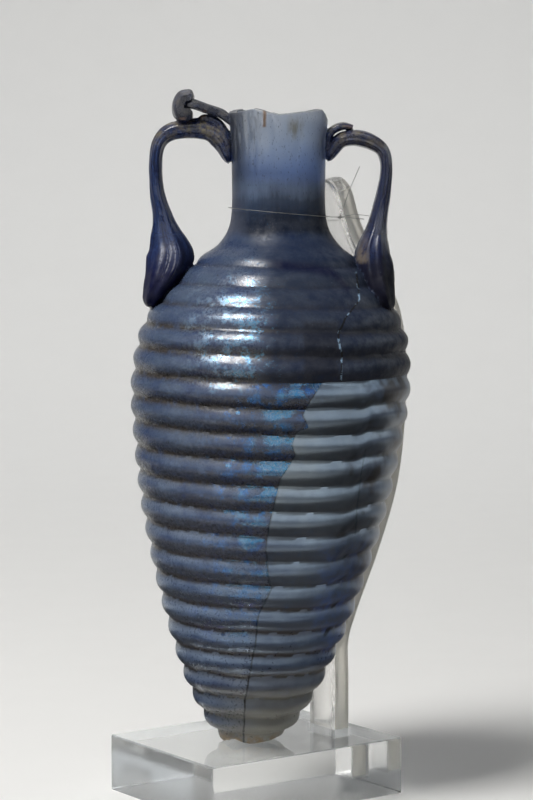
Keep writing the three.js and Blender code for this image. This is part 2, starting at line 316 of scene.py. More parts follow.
tints = {
    "deepBlue": (0.032, 0.056, 0.140, 1.0),
    "slate": (0.072, 0.102, 0.170, 1.0),
    "crestWearAndHighlight": (0.135, 0.185, 0.280, 1.0),
    "speckDark": (0.012, 0.014, 0.020, 1.0),
    "grooveDirtAndShade": (0.050, 0.043, 0.039, 1.0),
    # brown film of the patches and smudges, also the upper tone of the painted underside shade
    "brownFilmAndShade": (0.022, 0.017, 0.014, 1.0),
    "lowBrown": (0.074, 0.070, 0.074, 1.0),
    "litBlue": (0.180, 0.235, 0.340, 1.0),
    "sherdGrey": (0.050, 0.058, 0.074, 1.0),
    "sherdBlue": (0.078, 0.110, 0.200, 1.0),
    "brightBlue": (0.060, 0.110, 0.330, 1.0),
    "shadedBlue": (0.014, 0.018, 0.032, 1.0),
    "underNeck": (0.014, 0.024, 0.056, 1.0),
    "ledgeBlue": (0.004, 0.006, 0.028, 1.0),
    "tipOlive": (0.260, 0.250, 0.205, 1.0),
    "ochre": (0.230, 0.160, 0.085, 1.0),
    # dark of pits, marks and cracks, also painted shade on the right pad
    "pit": (0.012, 0.012, 0.014, 1.0),
    "glint": (0.30, 0.46, 0.66, 1.0),
    "neckShade": (0.080, 0.090, 0.125, 1.0),
    "neckMark": (0.030, 0.032, 0.045, 1.0),
    "brownStain": (0.330, 0.290, 0.190, 1.0),
    "rust": (0.330, 0.150, 0.040, 1.0),
    "strapBlue": (0.036, 0.078, 0.240, 1.0),
    "strapDeep": (0.010, 0.018, 0.065, 1.0),
    "padDeep": (0.005, 0.006, 0.034, 1.0),
    "strapOlive": (0.150, 0.125, 0.070, 1.0),
    "strapTan": (0.330, 0.270, 0.180, 1.0),
    "scuff": (0.420, 0.420, 0.450, 1.0),
}
# Noises over the glass: scale, detail, roughness and stretch.
noises = {
    "clouds": (90.0, 3.0, 0.6, None),
    "mottle": (420.0, 4.0, 0.65, None),
    "grain": (1700.0, 2.0, 0.65, None),
    "toolMarks": (600.0, 1.0, 0.6, (0.35, 0.35, 2.6)),
    "upright": (420.0, 3.0, 0.6, (3.0, 3.0, 0.4)),
    "filmPatches": (260.0, 2.0, 0.6, (1.0, 1.0, 1.8)),
    "flakes": (9000.0, 1.0, 0.5, None),
    "hues": (6400.0, 1.0, 0.5, None),
    "neckGrain": (1500.0, 2.0, 0.6, (2.0, 2.0, 0.8)),
    "pitting": (700.0, 1.0, 0.5, None),
}
# Where a finish comes in, in mm: what is read, its start, where it is full, and if the ends are eased.
reaches = {
    "frontHalf": ("y", -1, -4),
    "leaning": ("z", 82, 30),
    "neckFrom": ("neckRise", 117.5, 121, True),
    "neckHeight": ("neckClimb", 115, 147),
    "neckLeft": ("x", -1, -5),
    "shadedAcross": ("shadedAt", -2, 5, True),
    "shadedLow": ("z", 86, 90),
    "shadedTop": ("z", 121, 115, True),
    "underNeckRise": ("z", 109, 117),
    "smudgeSide": ("x", 12, 18),
    "speckRise": ("z", 34, 72),
    "sherdEdge": ("x", 19, 24),
    "sherdLow": ("z", 66, 48),
    "sherdRise": ("z", 36, 60),
    "brownRise": ("z", 82, 58),
    "underSide": ("x", -18, -2),
    "litRise": ("z", 84, 60),
    "tipRise": ("z", 30, 16),
    "tipSide": ("x", -9, 1),
    "tipEdge": ("z", 14.8, 13.2),
    "tipBroken": ("z", 19, 15),
    "filmRise": ("z", 30, 40),
    "patchRise": ("z", 40, 66),
    "cyanReach": ("filmReach", -10.5, -5.5),
    "violetReach": ("filmReach", -21, -11),
    "dullRise": ("z", 75, 45),
    "filmEdge": ("x", 19, 25),
    "filmTip": ("z", 17, 32),
    "padRise": ("z", 119, 110),
    "padFoot": ("z", 120, 112),
    "topRise": ("z", 133, 139),
    "rightSide": ("x", 14, 18),
    "rightPadRise": ("z", 118, 112),
    "dustSide": ("x", 18, 21),
    "dustRise": ("z", 114, 120),
    "smoothRise": ("z", 72, 40),
    "neckClears": ("z", 120, 131),
    "neckSmooths": ("z", 123, 134),
    "neckFootTop": ("z", 131, 122, True),
    "neckFootLow": ("z", 110, 118),
    "hazeRise": ("z", 131, 139),
}
# The same for noises and other plain values.
levels = {
    "glintMottle": ("mottle", 0.50, 0.62),
    "smudgeClouds": ("clouds", 0.46, 0.60),
    "slateClouds": ("clouds", 0.36, 0.64),
    "speckGrain": ("grain", 0.50, 0.66),
    "speckMottle": ("mottle", 0.35, 0.60),
    "crestWave": ("ribWave", 0.60, 1.0),
    "crestMottle": ("mottle", 0.38, 0.70),
    "grooveWave": ("ribWave", 0.70, 0.20),
    "grooveMottle": ("mottle", 0.26, 0.50),
    "underSlope": ("slope", 0.10, -0.20),
    "underMottle": ("mottle", 0.22, 0.48),
    "litSlope": ("slope", 0.12, 0.36),
    "blueMottle": ("mottle", 0.42, 0.60),
    "ochreMottle": ("mottle", 0.42, 0.58),
    "pits": ("pitting", 0.80, 0.85),
    "patchOpen": ("patchGap", -0.08, 0.08),
    "filmSlope": ("upward", -0.22, 0.06),
    "violetMottle": ("mottle", 0.40, 0.60),
    "highlightMottle": ("mottle", 0.34, 0.60),
    "dullGrain": ("grain", 0.38, 0.60),
    "ribTop": ("ribWave", 0.15, 0.55),
    "sherdClouds": ("clouds", 0.36, 0.60),
    "neckSpecks": ("neckGrain", 0.62, 0.69),
    "stainStreaks": ("upright", 0.34, 0.50),
    "markStreaks": ("upright", 0.52, 0.62),
    "hazeStreaks": ("upright", 0.42, 0.62),
    "strapFibre": ("fibre", 0.38, 0.68),
    "scuffFibre": ("fibre", 0.52, 0.62),
    "dustFibre": ("fibre", 0.40, 0.60),
    "topMottle": ("mottle", 0.40, 0.60),
    "strapGrain": ("grain", 0.52, 0.62),
    "tanMottle": ("mottle", 0.32, 0.5),
    "roughGrain": ("grain", 0.35, 0.65),
    "shadedGrain": ("grain", 0.40, 0.60),
    "crustMottle": ("mottle", 0.36, 0.62),
}
# Windows in the front view: x and height, then how soft and how ragged their edges are, in mm.
windows = {
    "highlight": ((-22.0, 9.0), (82.0, 118.0), 10.0, 2.0),
    "brownPatch": ((9.3, 17.0), (90.0, 102.0), 0.8, 0.8),
    "bluePatches": ((11.0, 26.0), (30.0, 58.0), 3.0, 2.0),
    "stain": ((5.8, 10.3), (137.2, 143.0), 2.2, 1.6),
    "darkStreaks": ((-2.0, 1.4), (136.6, 144.0), 1.4, 0.8),
    "rustStreak": ((1.4, 2.3), (140.2, 145.5), 0.3, 0.3),
    "tanEdge": ((20.4, 23.6), (112.0, 122.0), 1.0, 0.6),
    "scuffs": ((-20.6, -15.0), (108.5, 117.0), 2.0, 0.8),
}
# Spots in the front view: middle, half length and half width, and the slant in degrees.
spots = {
    "marks": [
        ((21.9, 62.0), (0.45, 0.45), 0.0), ((-6.6, 37.3), (0.4, 0.55), 0.0),
        ((25.3, 78.4), (0.9, 0.8), 0.0), ((18.2, 53.0), (1.1, 0.25), 35.0),
        ((17.9, 48.5), (1.3, 0.28), 32.0), ((16.3, 42.7), (1.2, 0.3), 42.0),
        ((14.7, 36.9), (1.3, 0.45), 55.0),
    ],
    "filmDots": [
        ((-5.4, 72.8), (0.6, 0.5), 0.0), ((-4.4, 74.2), (0.7, 0.5), 0.0), ((-5.9, 63.4), (0.6, 0.5), 0.0),
        ((-9.5, 74.5), (0.5, 0.4), 0.0), ((-3.4, 83.5), (0.5, 0.4), 0.0), ((-1.2, 69.0), (0.9, 0.6), 0.0),
    ],
    "rustSpots": [
        ((-11.4, 143.0), (1.5, 0.9), 15.0), ((-15.5, 142.0), (1.6, 0.4), 10.0),
        ((19.5, 140.6), (1.2, 0.4), 0.0),
    ],
}
# Coats of colour, first to last: tint, strength, and what places it.
bodyCoats = [
    ("speckDark", 0.7, ["speckGrain", "speckMottle", "speckRise"]),
    # pale crests: partly wear, partly painted highlight
    ("crestWearAndHighlight", 0.6, ["crestWave", "crestMottle"]),
    ("sherdTint", 0.8, ["sherd"]),
    # dark grooves: partly dirt, partly painted shade
    ("grooveDirtAndShade", 1.0, ["grooveWave", "grooveMottle"]),
    # painted shade on the slopes that face down, brownish above and grey low down
    ("underBrown", 1.0, ["underSlope", "underMottle", "underStrength"]),
    ("litBlue", 0.6, ["litSlope", "litRise"]),
    ("brownFilmAndShade", 0.8, ["brownPatch"]),
    ("brightBlue", 0.7, ["bluePatches", "blueMottle"]),
    ("brownFilmAndShade", 0.7, ["sherd", "smudge"]),
    ("tipOlive", 0.85, ["tipRise", "tipSide"]),
]
neckCoats = [
    ("neckMark", 0.65, ["neckSpecks"]),
    ("neckShade", 0.75, ["neckLeft"]),
    ("brownStain", 0.85, ["stain", "stainStreaks"]),
    ("neckMark", 0.6, ["darkStreaks", "markStreaks"]),
    ("rust", 0.9, ["rustStreak"]),
]
shoulderCoats = [
    # painted shade on the right of the shoulder
    ("shadedBlue", 0.8, ["shaded"]),
    ("underNeck", 0.75, ["underNeckRise", "offNeck"]),
    # painted shade along the shoulder's ledge
    ("ledgeBlue", 0.9, ["ledgeLine"]),
]
handleCoats = [
    ("padDeep", 1.0, ["padRise"]),
    ("scuff", 1.0, ["scuffed"]),
    ("strapOlive", 1.0, ["weatheredTop"]),
    ("rust", 0.8, ["rustSpots"]),
    ("padDeep", 0.7, ["strapGrain"]),
    # painted shade on the right pad
    ("pit", 0.7, ["rightSide", "rightPadRise"]),
    ("strapOlive", 0.45, ["dustSide", "dustRise", "dustFibre"]),
    ("strapTan", 0.3, ["tanEdge", "tanMottle"]),
]
damageCoats = [
    ("pit", 0.85, ["pits"]),
    ("pit", 0.9, ["marks"]),
    # painted shade on the broken rim's edge
    ("ledgeBlue", 0.85, ["breakShare", "neckShare"]),
    ("ochre", 1.0, ["brokenTip"]),
    ("pit", 1.0, ["cracks"]),
    ("glint", 1.0, ["litCrack"]),
]
# Film: thicknesses in nanometres, edges in mm, and the noise levels past which a flake shows.
film = {
    "ior": 2.05,
    "cyan": (148.0, 172.0),
    "violet": (142.0, 160.0),
    "sherd": (32.0, 50.0),
    "sherdEdge": 36.0,
    "dull": (10.0, 30.0),
    "silver": 40.0,
    "specks": (146.0, 176.0),
    "cloudDrift": 6.0,
    "mottleDrift": 2.5,
    "patchLevel": (0.60, 0.45),
    "cyanFlakes": (0.78, 0.40),
    "violetFlakes": (0.78, 0.44),
    "speckFlakes": (0.74, 0.44),
    "silverAbove": 0.53,
    "silverBelow": 0.51,
    "silverSlope": 9.0,
    "smudgeKeeps": 0.35,
}
# How the glass passes, mirrors and scatters light. Relief in mm.
finish = {
    "bodyClear": 0.25,
    "sherdClear": 0.4,
    "neckClear": (0.35, 0.95),
    "strapClear": 0.5,
    "crustShadeDulls": 0.92,
    "rimDulls": 0.7,
    "hazeDulls": 0.2,
    "bodyRough": (0.20, 0.40),
    "lowRough": (0.26, 0.34),
    "sherdRough": (0.24, 0.42),
    "cyanRough": 0.26,
    "neckRough": (0.29, 0.36),
    "neckFootRough": 0.45,
    "shadedRough": (0.34, 0.60),
    "strapRough": 0.22,
    "padRough": 0.50,
    "mirrors": 0.5,
    "strapMirrors": 0.34,
    "crustShadeMirrors": (0.04, 0.20),
    "rightPadKeeps": 0.2,
    "toolRelief": 0.6,
    "sherdRelief": 0.25,
    "grainRelief": (0.24, 0.10),
    "reliefDepth": 0.06,
    "reliefStrength": 0.8,
}


# the share that a name stands for: a reading as it is, or one between its start and its full value
def shareOf(sheet, on, name):
    if name in on:
        return on[name]
    unit = mm if name in reaches else 1.0
    reading, start, full, *eased = reaches[name] if name in reaches else levels[name]
    return sheet.ramp(on[reading], start * unit, full * unit, bool(eased))


def sharesOf(sheet, on, *names):
    return sheet.times(*(shareOf(sheet, on, name) for name in names))


def layCoats(sheet, on, tint, coats, mixed=None):
    colours = {**tints, **(mixed or {})}
    for name, strength, places in coats:
        tint = sheet.colour(sheet.times(sharesOf(sheet, on, *places), strength), tint, colours[name])
    return tint


# a noise as a shift to both sides, in mm
def drift(sheet, noise, reach):
    return sheet.calc("MULTIPLY_ADD", noise, 2 * reach * mm, -reach * mm)


# what the finish goes by: place, the mesh's own values and noises of several sizes
def readGlass(sheet, place):
    on = dict(zip("xyz", sheet.split(place)))
    for name, (scale, detail, rough, stretch) in noises.items():
        at = sheet.vector("MULTIPLY", place, stretch) if stretch else place
        on[name] = sheet.noise(at, scale, detail, rough)
    for name in ("ribWave", "strapShare", "breakShare"):
        on[name] = sheet.node("ShaderNodeAttribute", attribute_name=name).outputs["Fac"]
    strapPlace = sheet.node("ShaderNodeAttribute", attribute_name="strapPlace").outputs["Vector"]
    lengthwise = sheet.vector("MULTIPLY", strapPlace, glass["fibreStretch"])
    on["fibre"] = sheet.noise(lengthwise, *glass["fibreNoise"])
    on["front"] = shareOf(sheet, on, "frontHalf")
    facing = sheet.split(sheet.node("ShaderNodeTexCoord").outputs["Normal"])[2]
    lean = sheet.between(shareOf(sheet, on, "leaning"), 0.0, glass["lowLean"])
    on["upward"] = sheet.calc("SUBTRACT", facing, lean)
    on["neckRise"] = sheet.calc("MULTIPLY_ADD", on["clouds"], glass["neckDrift"] * mm, on["z"])
    on["neckShare"] = shareOf(sheet, on, "neckFrom")
    on["offNeck"] = sheet.calc("SUBTRACT", 1.0, on["neckShare"])
    on["offStrap"] = sheet.calc("SUBTRACT", 1.0, on["strapShare"])
    on["bodyShare"] = sheet.times(on["offNeck"], on["offStrap"])
    return on


# soft-edged window in the front view, ragged by a noise
def windowShare(sheet, on, across, rise, soft, ragged):
    shift = drift(sheet, on["mottle"], ragged)
    share = on["front"]
    for axis, (low, high) in (("x", across), ("z", rise)):
        at = sheet.calc("ADD", on[axis], shift)
        fromLow = sheet.ramp(at, low * mm, (low + soft) * mm)
        fromHigh = sheet.ramp(at, high * mm, (high - soft) * mm)
        share = sheet.times(share, fromLow, fromHigh)
    return share


# small spots of the front view, ragged at their edges
def spotShare(sheet, on, places):
    total = 0.0
    for (across, height), (long, wide), slant in places:
        turn = math.radians(slant)
        dx = sheet.calc("SUBTRACT", on["x"], across * mm)
        dz = sheet.calc("SUBTRACT", on["z"], height * mm)
        along = sheet.calc("ADD", sheet.times(dx, math.cos(turn)), sheet.times(dz, math.sin(turn)))
        aside = sheet.calc("SUBTRACT", sheet.times(dz, math.cos(turn)), sheet.times(dx, math.sin(turn)))
        reach = sheet.join(sheet.times(along, 1 / (long * mm)), sheet.times(aside, 1 / (wide * mm)))
        length = sheet.node("ShaderNodeVectorMath", operation="LENGTH")
        sheet.feed(length.inputs[0], reach)
        ragged = sheet.calc("MULTIPLY_ADD", on["grain"], glass["spotRagged"], length.outputs["Value"])
        total = sheet.calc("MAXIMUM", total, sheet.ramp(ragged, *glass["spotEdge"]))
    return sheet.times(total, on["front"])


# signed distance to a crack in the front view, and a mask of its height
def crackGap(sheet, on, route):
    low, high = glass["crackSpan"]
    side = glass["crackSide"]
    share = sheet.ramp(on["z"], low * mm, high * mm)
    points = []
    for across, height in reversed(route):
        points.append(((height - low) / (high - low), (across + side) / (2 * side)))
    middle = sheet.calc("MULTIPLY_ADD", sheet.line(share, points), 2 * side * mm, -side * mm)
    above = sheet.calc("GREATER_THAN", on["z"], route[-1][1] * mm)
    below = sheet.calc("LESS_THAN", on["z"], route[0][1] * mm)
    return sheet.calc("SUBTRACT", on["x"], middle), sheet.times(above, below, on["front"])


# thin dark lines of the cracks, and the lit upper one
def crackLines(sheet, on):
    jitter = drift(sheet, on["mottle"], glass["crackJitter"])
    half = glass["crackHalf"] * mm
    lines = []
    for name in ("mainCrack", "upperCrack", "rightCrack"):
        offset, inside = crackGap(sheet, on, glass[name])
        near = sheet.calc("ABSOLUTE", sheet.calc("ADD", offset, jitter))
        lines.append(sheet.times(sheet.ramp(near, 2 * half, half), inside))
    every = sheet.calc("MAXIMUM", sheet.calc("MAXIMUM", lines[0], lines[1]), lines[2])
    return every, sheet.times(lines[1], shareOf(sheet, on, "glintMottle"))


# the ledge round the shoulder, drawn as a dark line of painted shade under its step: height as a line over x
def ledgeLine(sheet, on):
    route = glass["ledge"]
    first, last = route[0][0], route[-1][0]
    low, high = glass["crackSpan"]
    points = [((across - first) / (last - first), (height - low) / (high - low)) for across, height in route]
    share = sheet.ramp(on["x"], first * mm, last * mm)
    level = sheet.calc("MULTIPLY_ADD", sheet.line(share, points), (high - low) * mm, low * mm)
    near = sheet.calc("ABSOLUTE", sheet.calc("SUBTRACT", on["z"], level))
    starts = sheet.ramp(on["x"], first * mm, (first + glass["ledgeStart"]) * mm)
    ends = sheet.ramp(on["x"], (last + glass["ledgeEnd"]) * mm, last * mm)
    return sheet.times(sheet.ramp(near, 2 * glass["ledgeHalf"] * mm, 0.0, True), starts, ends, on["front"])


# places of the sherd, the dull parts, the side in painted shade, the damage and the handles' wear
def placeMarks(sheet, on):
    for name, box in windows.items():
        on[name] = windowShare(sheet, on, *box)
    for name, places in spots.items():
        on[name] = spotShare(sheet, on, places)
    on["gap"], on["inMain"] = crackGap(sheet, on, glass["mainCrack"])
    on["rightOf"] = sheet.times(sheet.calc("GREATER_THAN", on["gap"], 0.0), on["inMain"])
    firm = sheet.between(shareOf(sheet, on, "sherdRise"), glass["lowSherd"], 1.0)
    on["sherd"] = sheet.times(on["rightOf"], on["bodyShare"], firm)
    on["smudge"] = sharesOf(sheet, on, "smudgeSide", "smudgeClouds", "front")
    on["cracks"], on["litCrack"] = crackLines(sheet, on)
    on["ledgeLine"] = ledgeLine(sheet, on)
    moved = sheet.calc("SUBTRACT", on["x"], glass["shadedBack"] * mm)
    on["shadedAt"] = sheet.calc("MULTIPLY_ADD", on["clouds"], glass["shadedDrift"] * mm, moved)
    on["shaded"] = sharesOf(sheet, on, "front", "shadedAcross", "shadedLow", "shadedTop")
    edge = sheet.calc("MAXIMUM", on["breakShare"], shareOf(sheet, on, "tipEdge"))
    on["brokenTip"] = sheet.times(edge, sharesOf(sheet, on, "tipBroken", "ochreMottle"))
    on["scuffed"] = sheet.times(sharesOf(sheet, on, "scuffs", "scuffFibre"), glass["scuffStrength"])
    on["weatheredTop"] = sheet.times(sharesOf(sheet, on, "topRise", "topMottle"), glass["topStrength"])
    on["pad"] = sharesOf(sheet, on, "strapShare", "padFoot")
    neckFoot = sharesOf(sheet, on, "offStrap", "neckFootTop", "neckFootLow")
    # crusted neck foot and pads, and the side in painted shade
    on["crusted"] = sheet.calc("MAXIMUM", sheet.calc("MAXIMUM", on["shaded"], on["pad"]), neckFoot)


# body: blue under grey weathering, pale on the crests from wear and painted highlight, dirt and painted shade
# in the grooves, painted shade on the slopes that face down and painted light on those that face up, a
# cleaner sherd at the right
def bodyTint(sheet, on):
    lowShare = shareOf(sheet, on, "brownRise")
    wide = glass["slopeWander"]
    wander = sheet.calc("MULTIPLY_ADD", sheet.calc("ADD", on["clouds"], on["mottle"]), wide, -wide)
    tilted = sheet.calc("SUBTRACT", on["upward"], sheet.times(lowShare, glass["slopeLean"]))
    on["slope"] = sheet.calc("ADD", tilted, wander)
    leftUnder = sheet.between(lowShare, *glass["leftUnder"])
    on["underStrength"] = sheet.between(shareOf(sheet, on, "underSide"), leftUnder, glass["rightUnder"])
    blueEdge = sheet.calc("MAXIMUM", shareOf(sheet, on, "sherdEdge"), shareOf(sheet, on, "sherdLow"))
    mixed = {
        "sherdTint": sheet.colour(blueEdge, tints["sherdGrey"], tints["sherdBlue"]),
        "underBrown": sheet.colour(lowShare, tints["brownFilmAndShade"], tints["lowBrown"]),
    }
    base = sheet.colour(shareOf(sheet, on, "slateClouds"), tints["deepBlue"], tints["slate"])
    return layCoats(sheet, on, base, bodyCoats, mixed)


# neck: clear above and deep blue at its foot, with upright specks, stains and a rusty streak
def neckTint(sheet, on):
    lowered = sheet.calc("SUBTRACT", on["z"], glass["neckBack"] * mm)
    clouded = sheet.calc("MULTIPLY_ADD", on["clouds"], glass["neckCloud"] * mm, lowered)
    on["neckClimb"] = sheet.calc("MULTIPLY_ADD", on["upright"], glass["neckStreak"] * mm, clouded)
    base = sheet.palette(shareOf(sheet, on, "neckHeight"), glass["neckStops"])
    return layCoats(sheet, on, base, neckCoats)


# handles: cobalt with lengthwise striations, darker pads, painted shade on the right pad, brown weathering on
# top and a tan worn edge
def handleTint(sheet, on):
    base = sheet.colour(shareOf(sheet, on, "strapFibre"), tints["strapDeep"], tints["strapBlue"])
    return layCoats(sheet, on, base, handleCoats)


def glassTint(sheet, on):
    tint = sheet.colour(on["neckShare"], bodyTint(sheet, on), neckTint(sheet, on))
    tint = layCoats(sheet, on, tint, shoulderCoats)
    tint = sheet.colour(on["strapShare"], tint, handleTint(sheet, on))
    return layCoats(sheet, on, tint, damageCoats)


# flakes of film with sharp edges, whose thickness gives the colours of what they reflect
def filmThickness(sheet, on):
    shifted = sheet.calc("ADD", on["gap"], drift(sheet, on["clouds"], film["cloudDrift"]))
    on["filmReach"] = sheet.calc("ADD", shifted, drift(sheet, on["mottle"], film["mottleDrift"]))
    leftOf = sheet.calc("LESS_THAN", on["gap"], 0.0)
    leftOf = sheet.times(leftOf, sharesOf(sheet, on, "inMain", "bodyShare", "filmRise"))
    level = sheet.between(shareOf(sheet, on, "patchRise"), *film["patchLevel"])
    on["patchGap"] = sheet.calc("SUBTRACT", on["filmPatches"], level)
    cyan = sharesOf(sheet, on, "patchOpen", "filmSlope", "cyanReach")
    cyan = sheet.times(leftOf, sheet.calc("MAXIMUM", cyan, on["filmDots"]))
    violet = sheet.times(leftOf, sharesOf(sheet, on, "violetReach", "violetMottle"))
    # soft patches come of flakes too small to see
    on["cyan"] = sheet.calc("GREATER_THAN", on["flakes"], sheet.between(cyan, *film["cyanFlakes"]))
    violet = sheet.calc("GREATER_THAN", on["flakes"], sheet.between(violet, *film["violetFlakes"]))
    spread = sheet.between(sharesOf(sheet, on, "highlight", "highlightMottle"), *film["speckFlakes"])
    specks = sheet.calc("GREATER_THAN", sheet.between(0.5, on["flakes"], on["grain"]), spread)

    lowShare = shareOf(sheet, on, "dullRise")
    dulled = sheet.between(lowShare, shareOf(sheet, on, "dullGrain"), 1.0)
    dull = sheet.times(sheet.between(lowShare, *film["dull"]), sharesOf(sheet, on, "ribTop", "bodyShare"))
    ownFilm = sheet.between(shareOf(sheet, on, "sherdClouds"), *film["sherd"])
    ownFilm = sheet.between(shareOf(sheet, on, "filmEdge"), ownFilm, film["sherdEdge"])
    ownFilm = sheet.times(ownFilm, sheet.between(on["smudge"], 1.0, film["smudgeKeeps"]))
    thick = sheet.between(on["sherd"], sheet.times(dulled, dull), ownFilm)
    thick = sheet.times(thick, shareOf(sheet, on, "filmTip"))
    thick = sheet.between(violet, thick, sheet.between(on["clouds"], *film["violet"]))
    silver = sheet.calc("GREATER_THAN", on["hues"], film["silverAbove"])
    bluish = sheet.between(silver, sheet.between(on["mottle"], *film["cyan"]), film["silver"])
    thick = sheet.between(on["cyan"], thick, bluish)
    leftHues = sheet.calc("MULTIPLY_ADD", on["x"], film["silverSlope"], on["hues"])
    silver = sheet.calc("LESS_THAN", leftHues, film["silverBelow"])
    speckled = sheet.between(silver, sheet.between(on["mottle"], *film["specks"]), film["silver"])
    return sheet.between(sheet.times(specks, on["bodyShare"]), thick, speckled)


# how much light passes: less where the glass is crusted, worn or broken, and on the side in painted shade
def clearness(sheet, on):
    onNeck = sheet.times(on["neckShare"], on["offStrap"])
    topWear = sheet.calc("MAXIMUM", on["weatheredTop"], on["rustSpots"])
    losses = [
        sheet.times(sheet.calc("MAXIMUM", on["scuffed"], topWear), on["strapShare"]),
        sheet.times(onNeck, sharesOf(sheet, on, "hazeStreaks", "hazeRise"), finish["hazeDulls"]),
        on["brokenTip"],
        sheet.times(on["breakShare"], onNeck, finish["rimDulls"]),
        sheet.times(on["crusted"], finish["crustShadeDulls"]),
    ]
    clear = sheet.between(on["sherd"], finish["bodyClear"], finish["sherdClear"])
    neckClear = sheet.between(shareOf(sheet, on, "neckClears"), *finish["neckClear"])
    clear = sheet.between(on["neckShare"], clear, neckClear)
    clear = sheet.between(on["strapShare"], clear, finish["strapClear"])
    for loss in losses:
        clear = sheet.times(clear, sheet.calc("SUBTRACT", 1.0, loss))
    return clear


def roughness(sheet, on):
    low = shareOf(sheet, on, "smoothRise")
    (bodySmooth, bodyRough), (lowSmooth, lowRough) = finish["bodyRough"], finish["lowRough"]
    smooth, coarse = sheet.between(low, bodySmooth, lowSmooth), sheet.between(low, bodyRough, lowRough)
    rough = sheet.between(shareOf(sheet, on, "roughGrain"), smooth, coarse)
    rough = sheet.between(on["sherd"], rough, sheet.between(on["clouds"], *finish["sherdRough"]))
    rough = sheet.between(on["cyan"], rough, finish["cyanRough"])
    neckRough = sheet.between(on["upright"], *finish["neckRough"])
    neckRough = sheet.between(shareOf(sheet, on, "neckSmooths"), finish["neckFootRough"], neckRough)
    rough = sheet.between(on["neckShare"], rough, neckRough)
    shadedRough = sheet.between(shareOf(sheet, on, "shadedGrain"), *finish["shadedRough"])
    rough = sheet.between(on["shaded"], rough, shadedRough)
    strapRough = sheet.between(shareOf(sheet, on, "padFoot"), finish["strapRough"], finish["padRough"])
    return sheet.between(on["strapShare"], rough, strapRough)


# how strongly the surface mirrors: little where it is crusted and on the side in painted shade, least on the
# right pad in painted shade
def mirroring(sheet, on):
    bright = sheet.between(on["strapShare"], finish["mirrors"], finish["strapMirrors"])
    dull = sheet.between(shareOf(sheet, on, "crustMottle"), *finish["crustShadeMirrors"])
    rightPad = sharesOf(sheet, on, "pad", "rightSide")
    dull = sheet.times(dull, sheet.between(rightPad, 1.0, finish["rightPadKeeps"]))
    return sheet.between(on["crusted"], bright, dull)


def glassRelief(sheet, on):
    toolDepth = sheet.between(on["rightOf"], finish["toolRelief"], finish["sherdRelief"])
    grainDepth = sheet.between(shareOf(sheet, on, "smoothRise"), *finish["grainRelief"])
    return sheet.calc("ADD", sheet.times(on["toolMarks"], toolDepth), sheet.times(on["grain"], grainDepth))


def makeFlaskGlass():
    material, sheet, shader, place = newMaterial("weatheredBlueGlass")
    on = readGlass(sheet, place)
    placeMarks(sheet, on)
    sheet.feed(shader.inputs["Thin Film Thickness"], filmThickness(sheet, on))
    sheet.feed(shader.inputs["Base Color"], glassTint(sheet, on))
    sheet.feed(shader.inputs["Transmission Weight"], clearness(sheet, on))
    sheet.feed(shader.inputs["Roughness"], roughness(sheet, on))
    sheet.feed(shader.inputs["Specular IOR Level"], mirroring(sheet, on))
    shader.inputs["Thin Film IOR"].default_value = film["ior"]
    shader.inputs["IOR"].default_value = glass["ior"]
    bump(sheet, shader, glassRelief(sheet, on), finish["reliefDepth"] * mm, finish["reliefStrength"])
    absorb = sheet.node("ShaderNodeVolumeAbsorption")
    absorb.inputs["Color"].default_value = glass["absorbColour"]
    absorb.inputs["Density"].default_value = glass["absorbDensity"]
    sheet.feed(material.node_tree.nodes["Material Output"].inputs["Volume"], absorb.outputs[0])
    return material


# Flask wall: a ribbed body of revolution that leans from its foot to its neck. Sizes in mm.
wall = {
    "outline": [
        (6.4, 12.3), (8.6, 14.8), (10.8, 17.9), (15.1, 26.2), (20.5, 41.2), (25.8, 61.4), (28.7, 80),
        (29.2, 88), (28.2, 97), (25.4, 103), (20.2, 109), (16.2, 113.4), (12.6, 116.2), (10.5, 119.4),
        (9.75, 123.5), (9.75, 131), (10, 139), (10.9, 148),
    ],
    "around": 208,
    "rows": 372,
    "outlineSteps": 24,
    "mouthBreak": [141.6, 142.1, 143.0, 143.3, 143.2, 144.2, 143.5, 143.3, 144.0, 142.8, 143.3, 144.0],
    "tipBreak": [14.0, 13.7, 13.2, 13.5, 12.7, 13.5, 13.2, 12.3, 13.2, 12.2, 12.9, 13.5],
    "sizes": {
        "Foot": 12.3, "Neck Root": 116.0, "Top": 148.0, "Wall": 1.7,
        "Rib Pitch": 5.3, "Rib Depth": 0.95, "First Groove": 2.2, "Sherd Step": 0.7,
        "Shoulder Start": 96.0, "Shoulder End": 108.0, "Last Rib": 112.0,
        "Uneven Shift": 0.55, "Swell": 0.55, "Ragged": 0.35,
    },
    "shares": {"Shoulder Ribs": 0.55, "Uneven Depth": 0.35, "Rib Tilt": math.tan(math.radians(2))},
    "footAxis": (-1.1, -2.5, 0.0),
    "neckAxis": (4.75, 0.0, 0.0),
    # where the rows turn over the mouth, into the inside, and back at the tip
    "turns": (0.80, 0.812, 0.988),
    # the sherd right of the seam sits higher: its soft ends as shares of a turn from +X, then in height
    "sherdStart": (0.868, 0.874),
    "sherdEnd": (1.0, 0.93),
    "sherdLow": (40.0, 55.0),
    "sherdTop": (98.0, 92.0),
    "breakSpan": (11.0, 147.0),
    "seed": 3.0,
    # noises: scale, detail and roughness
    "raggedNoise": (6.0, 5.0, 0.7),
    "shiftNoise": (1.3, 2.0),
    "depthNoise": (2.1, 2.0),
    "swellNoise": (1.1, 1.0),
    "unevenRise": 60.0,
    "weld": 0.01,
}


# a noise that goes as far below nothing as above it
def evenNoise(sheet, place, *scales):
    return sheet.calc("SUBTRACT", sheet.noise(place, *scales), 0.5)


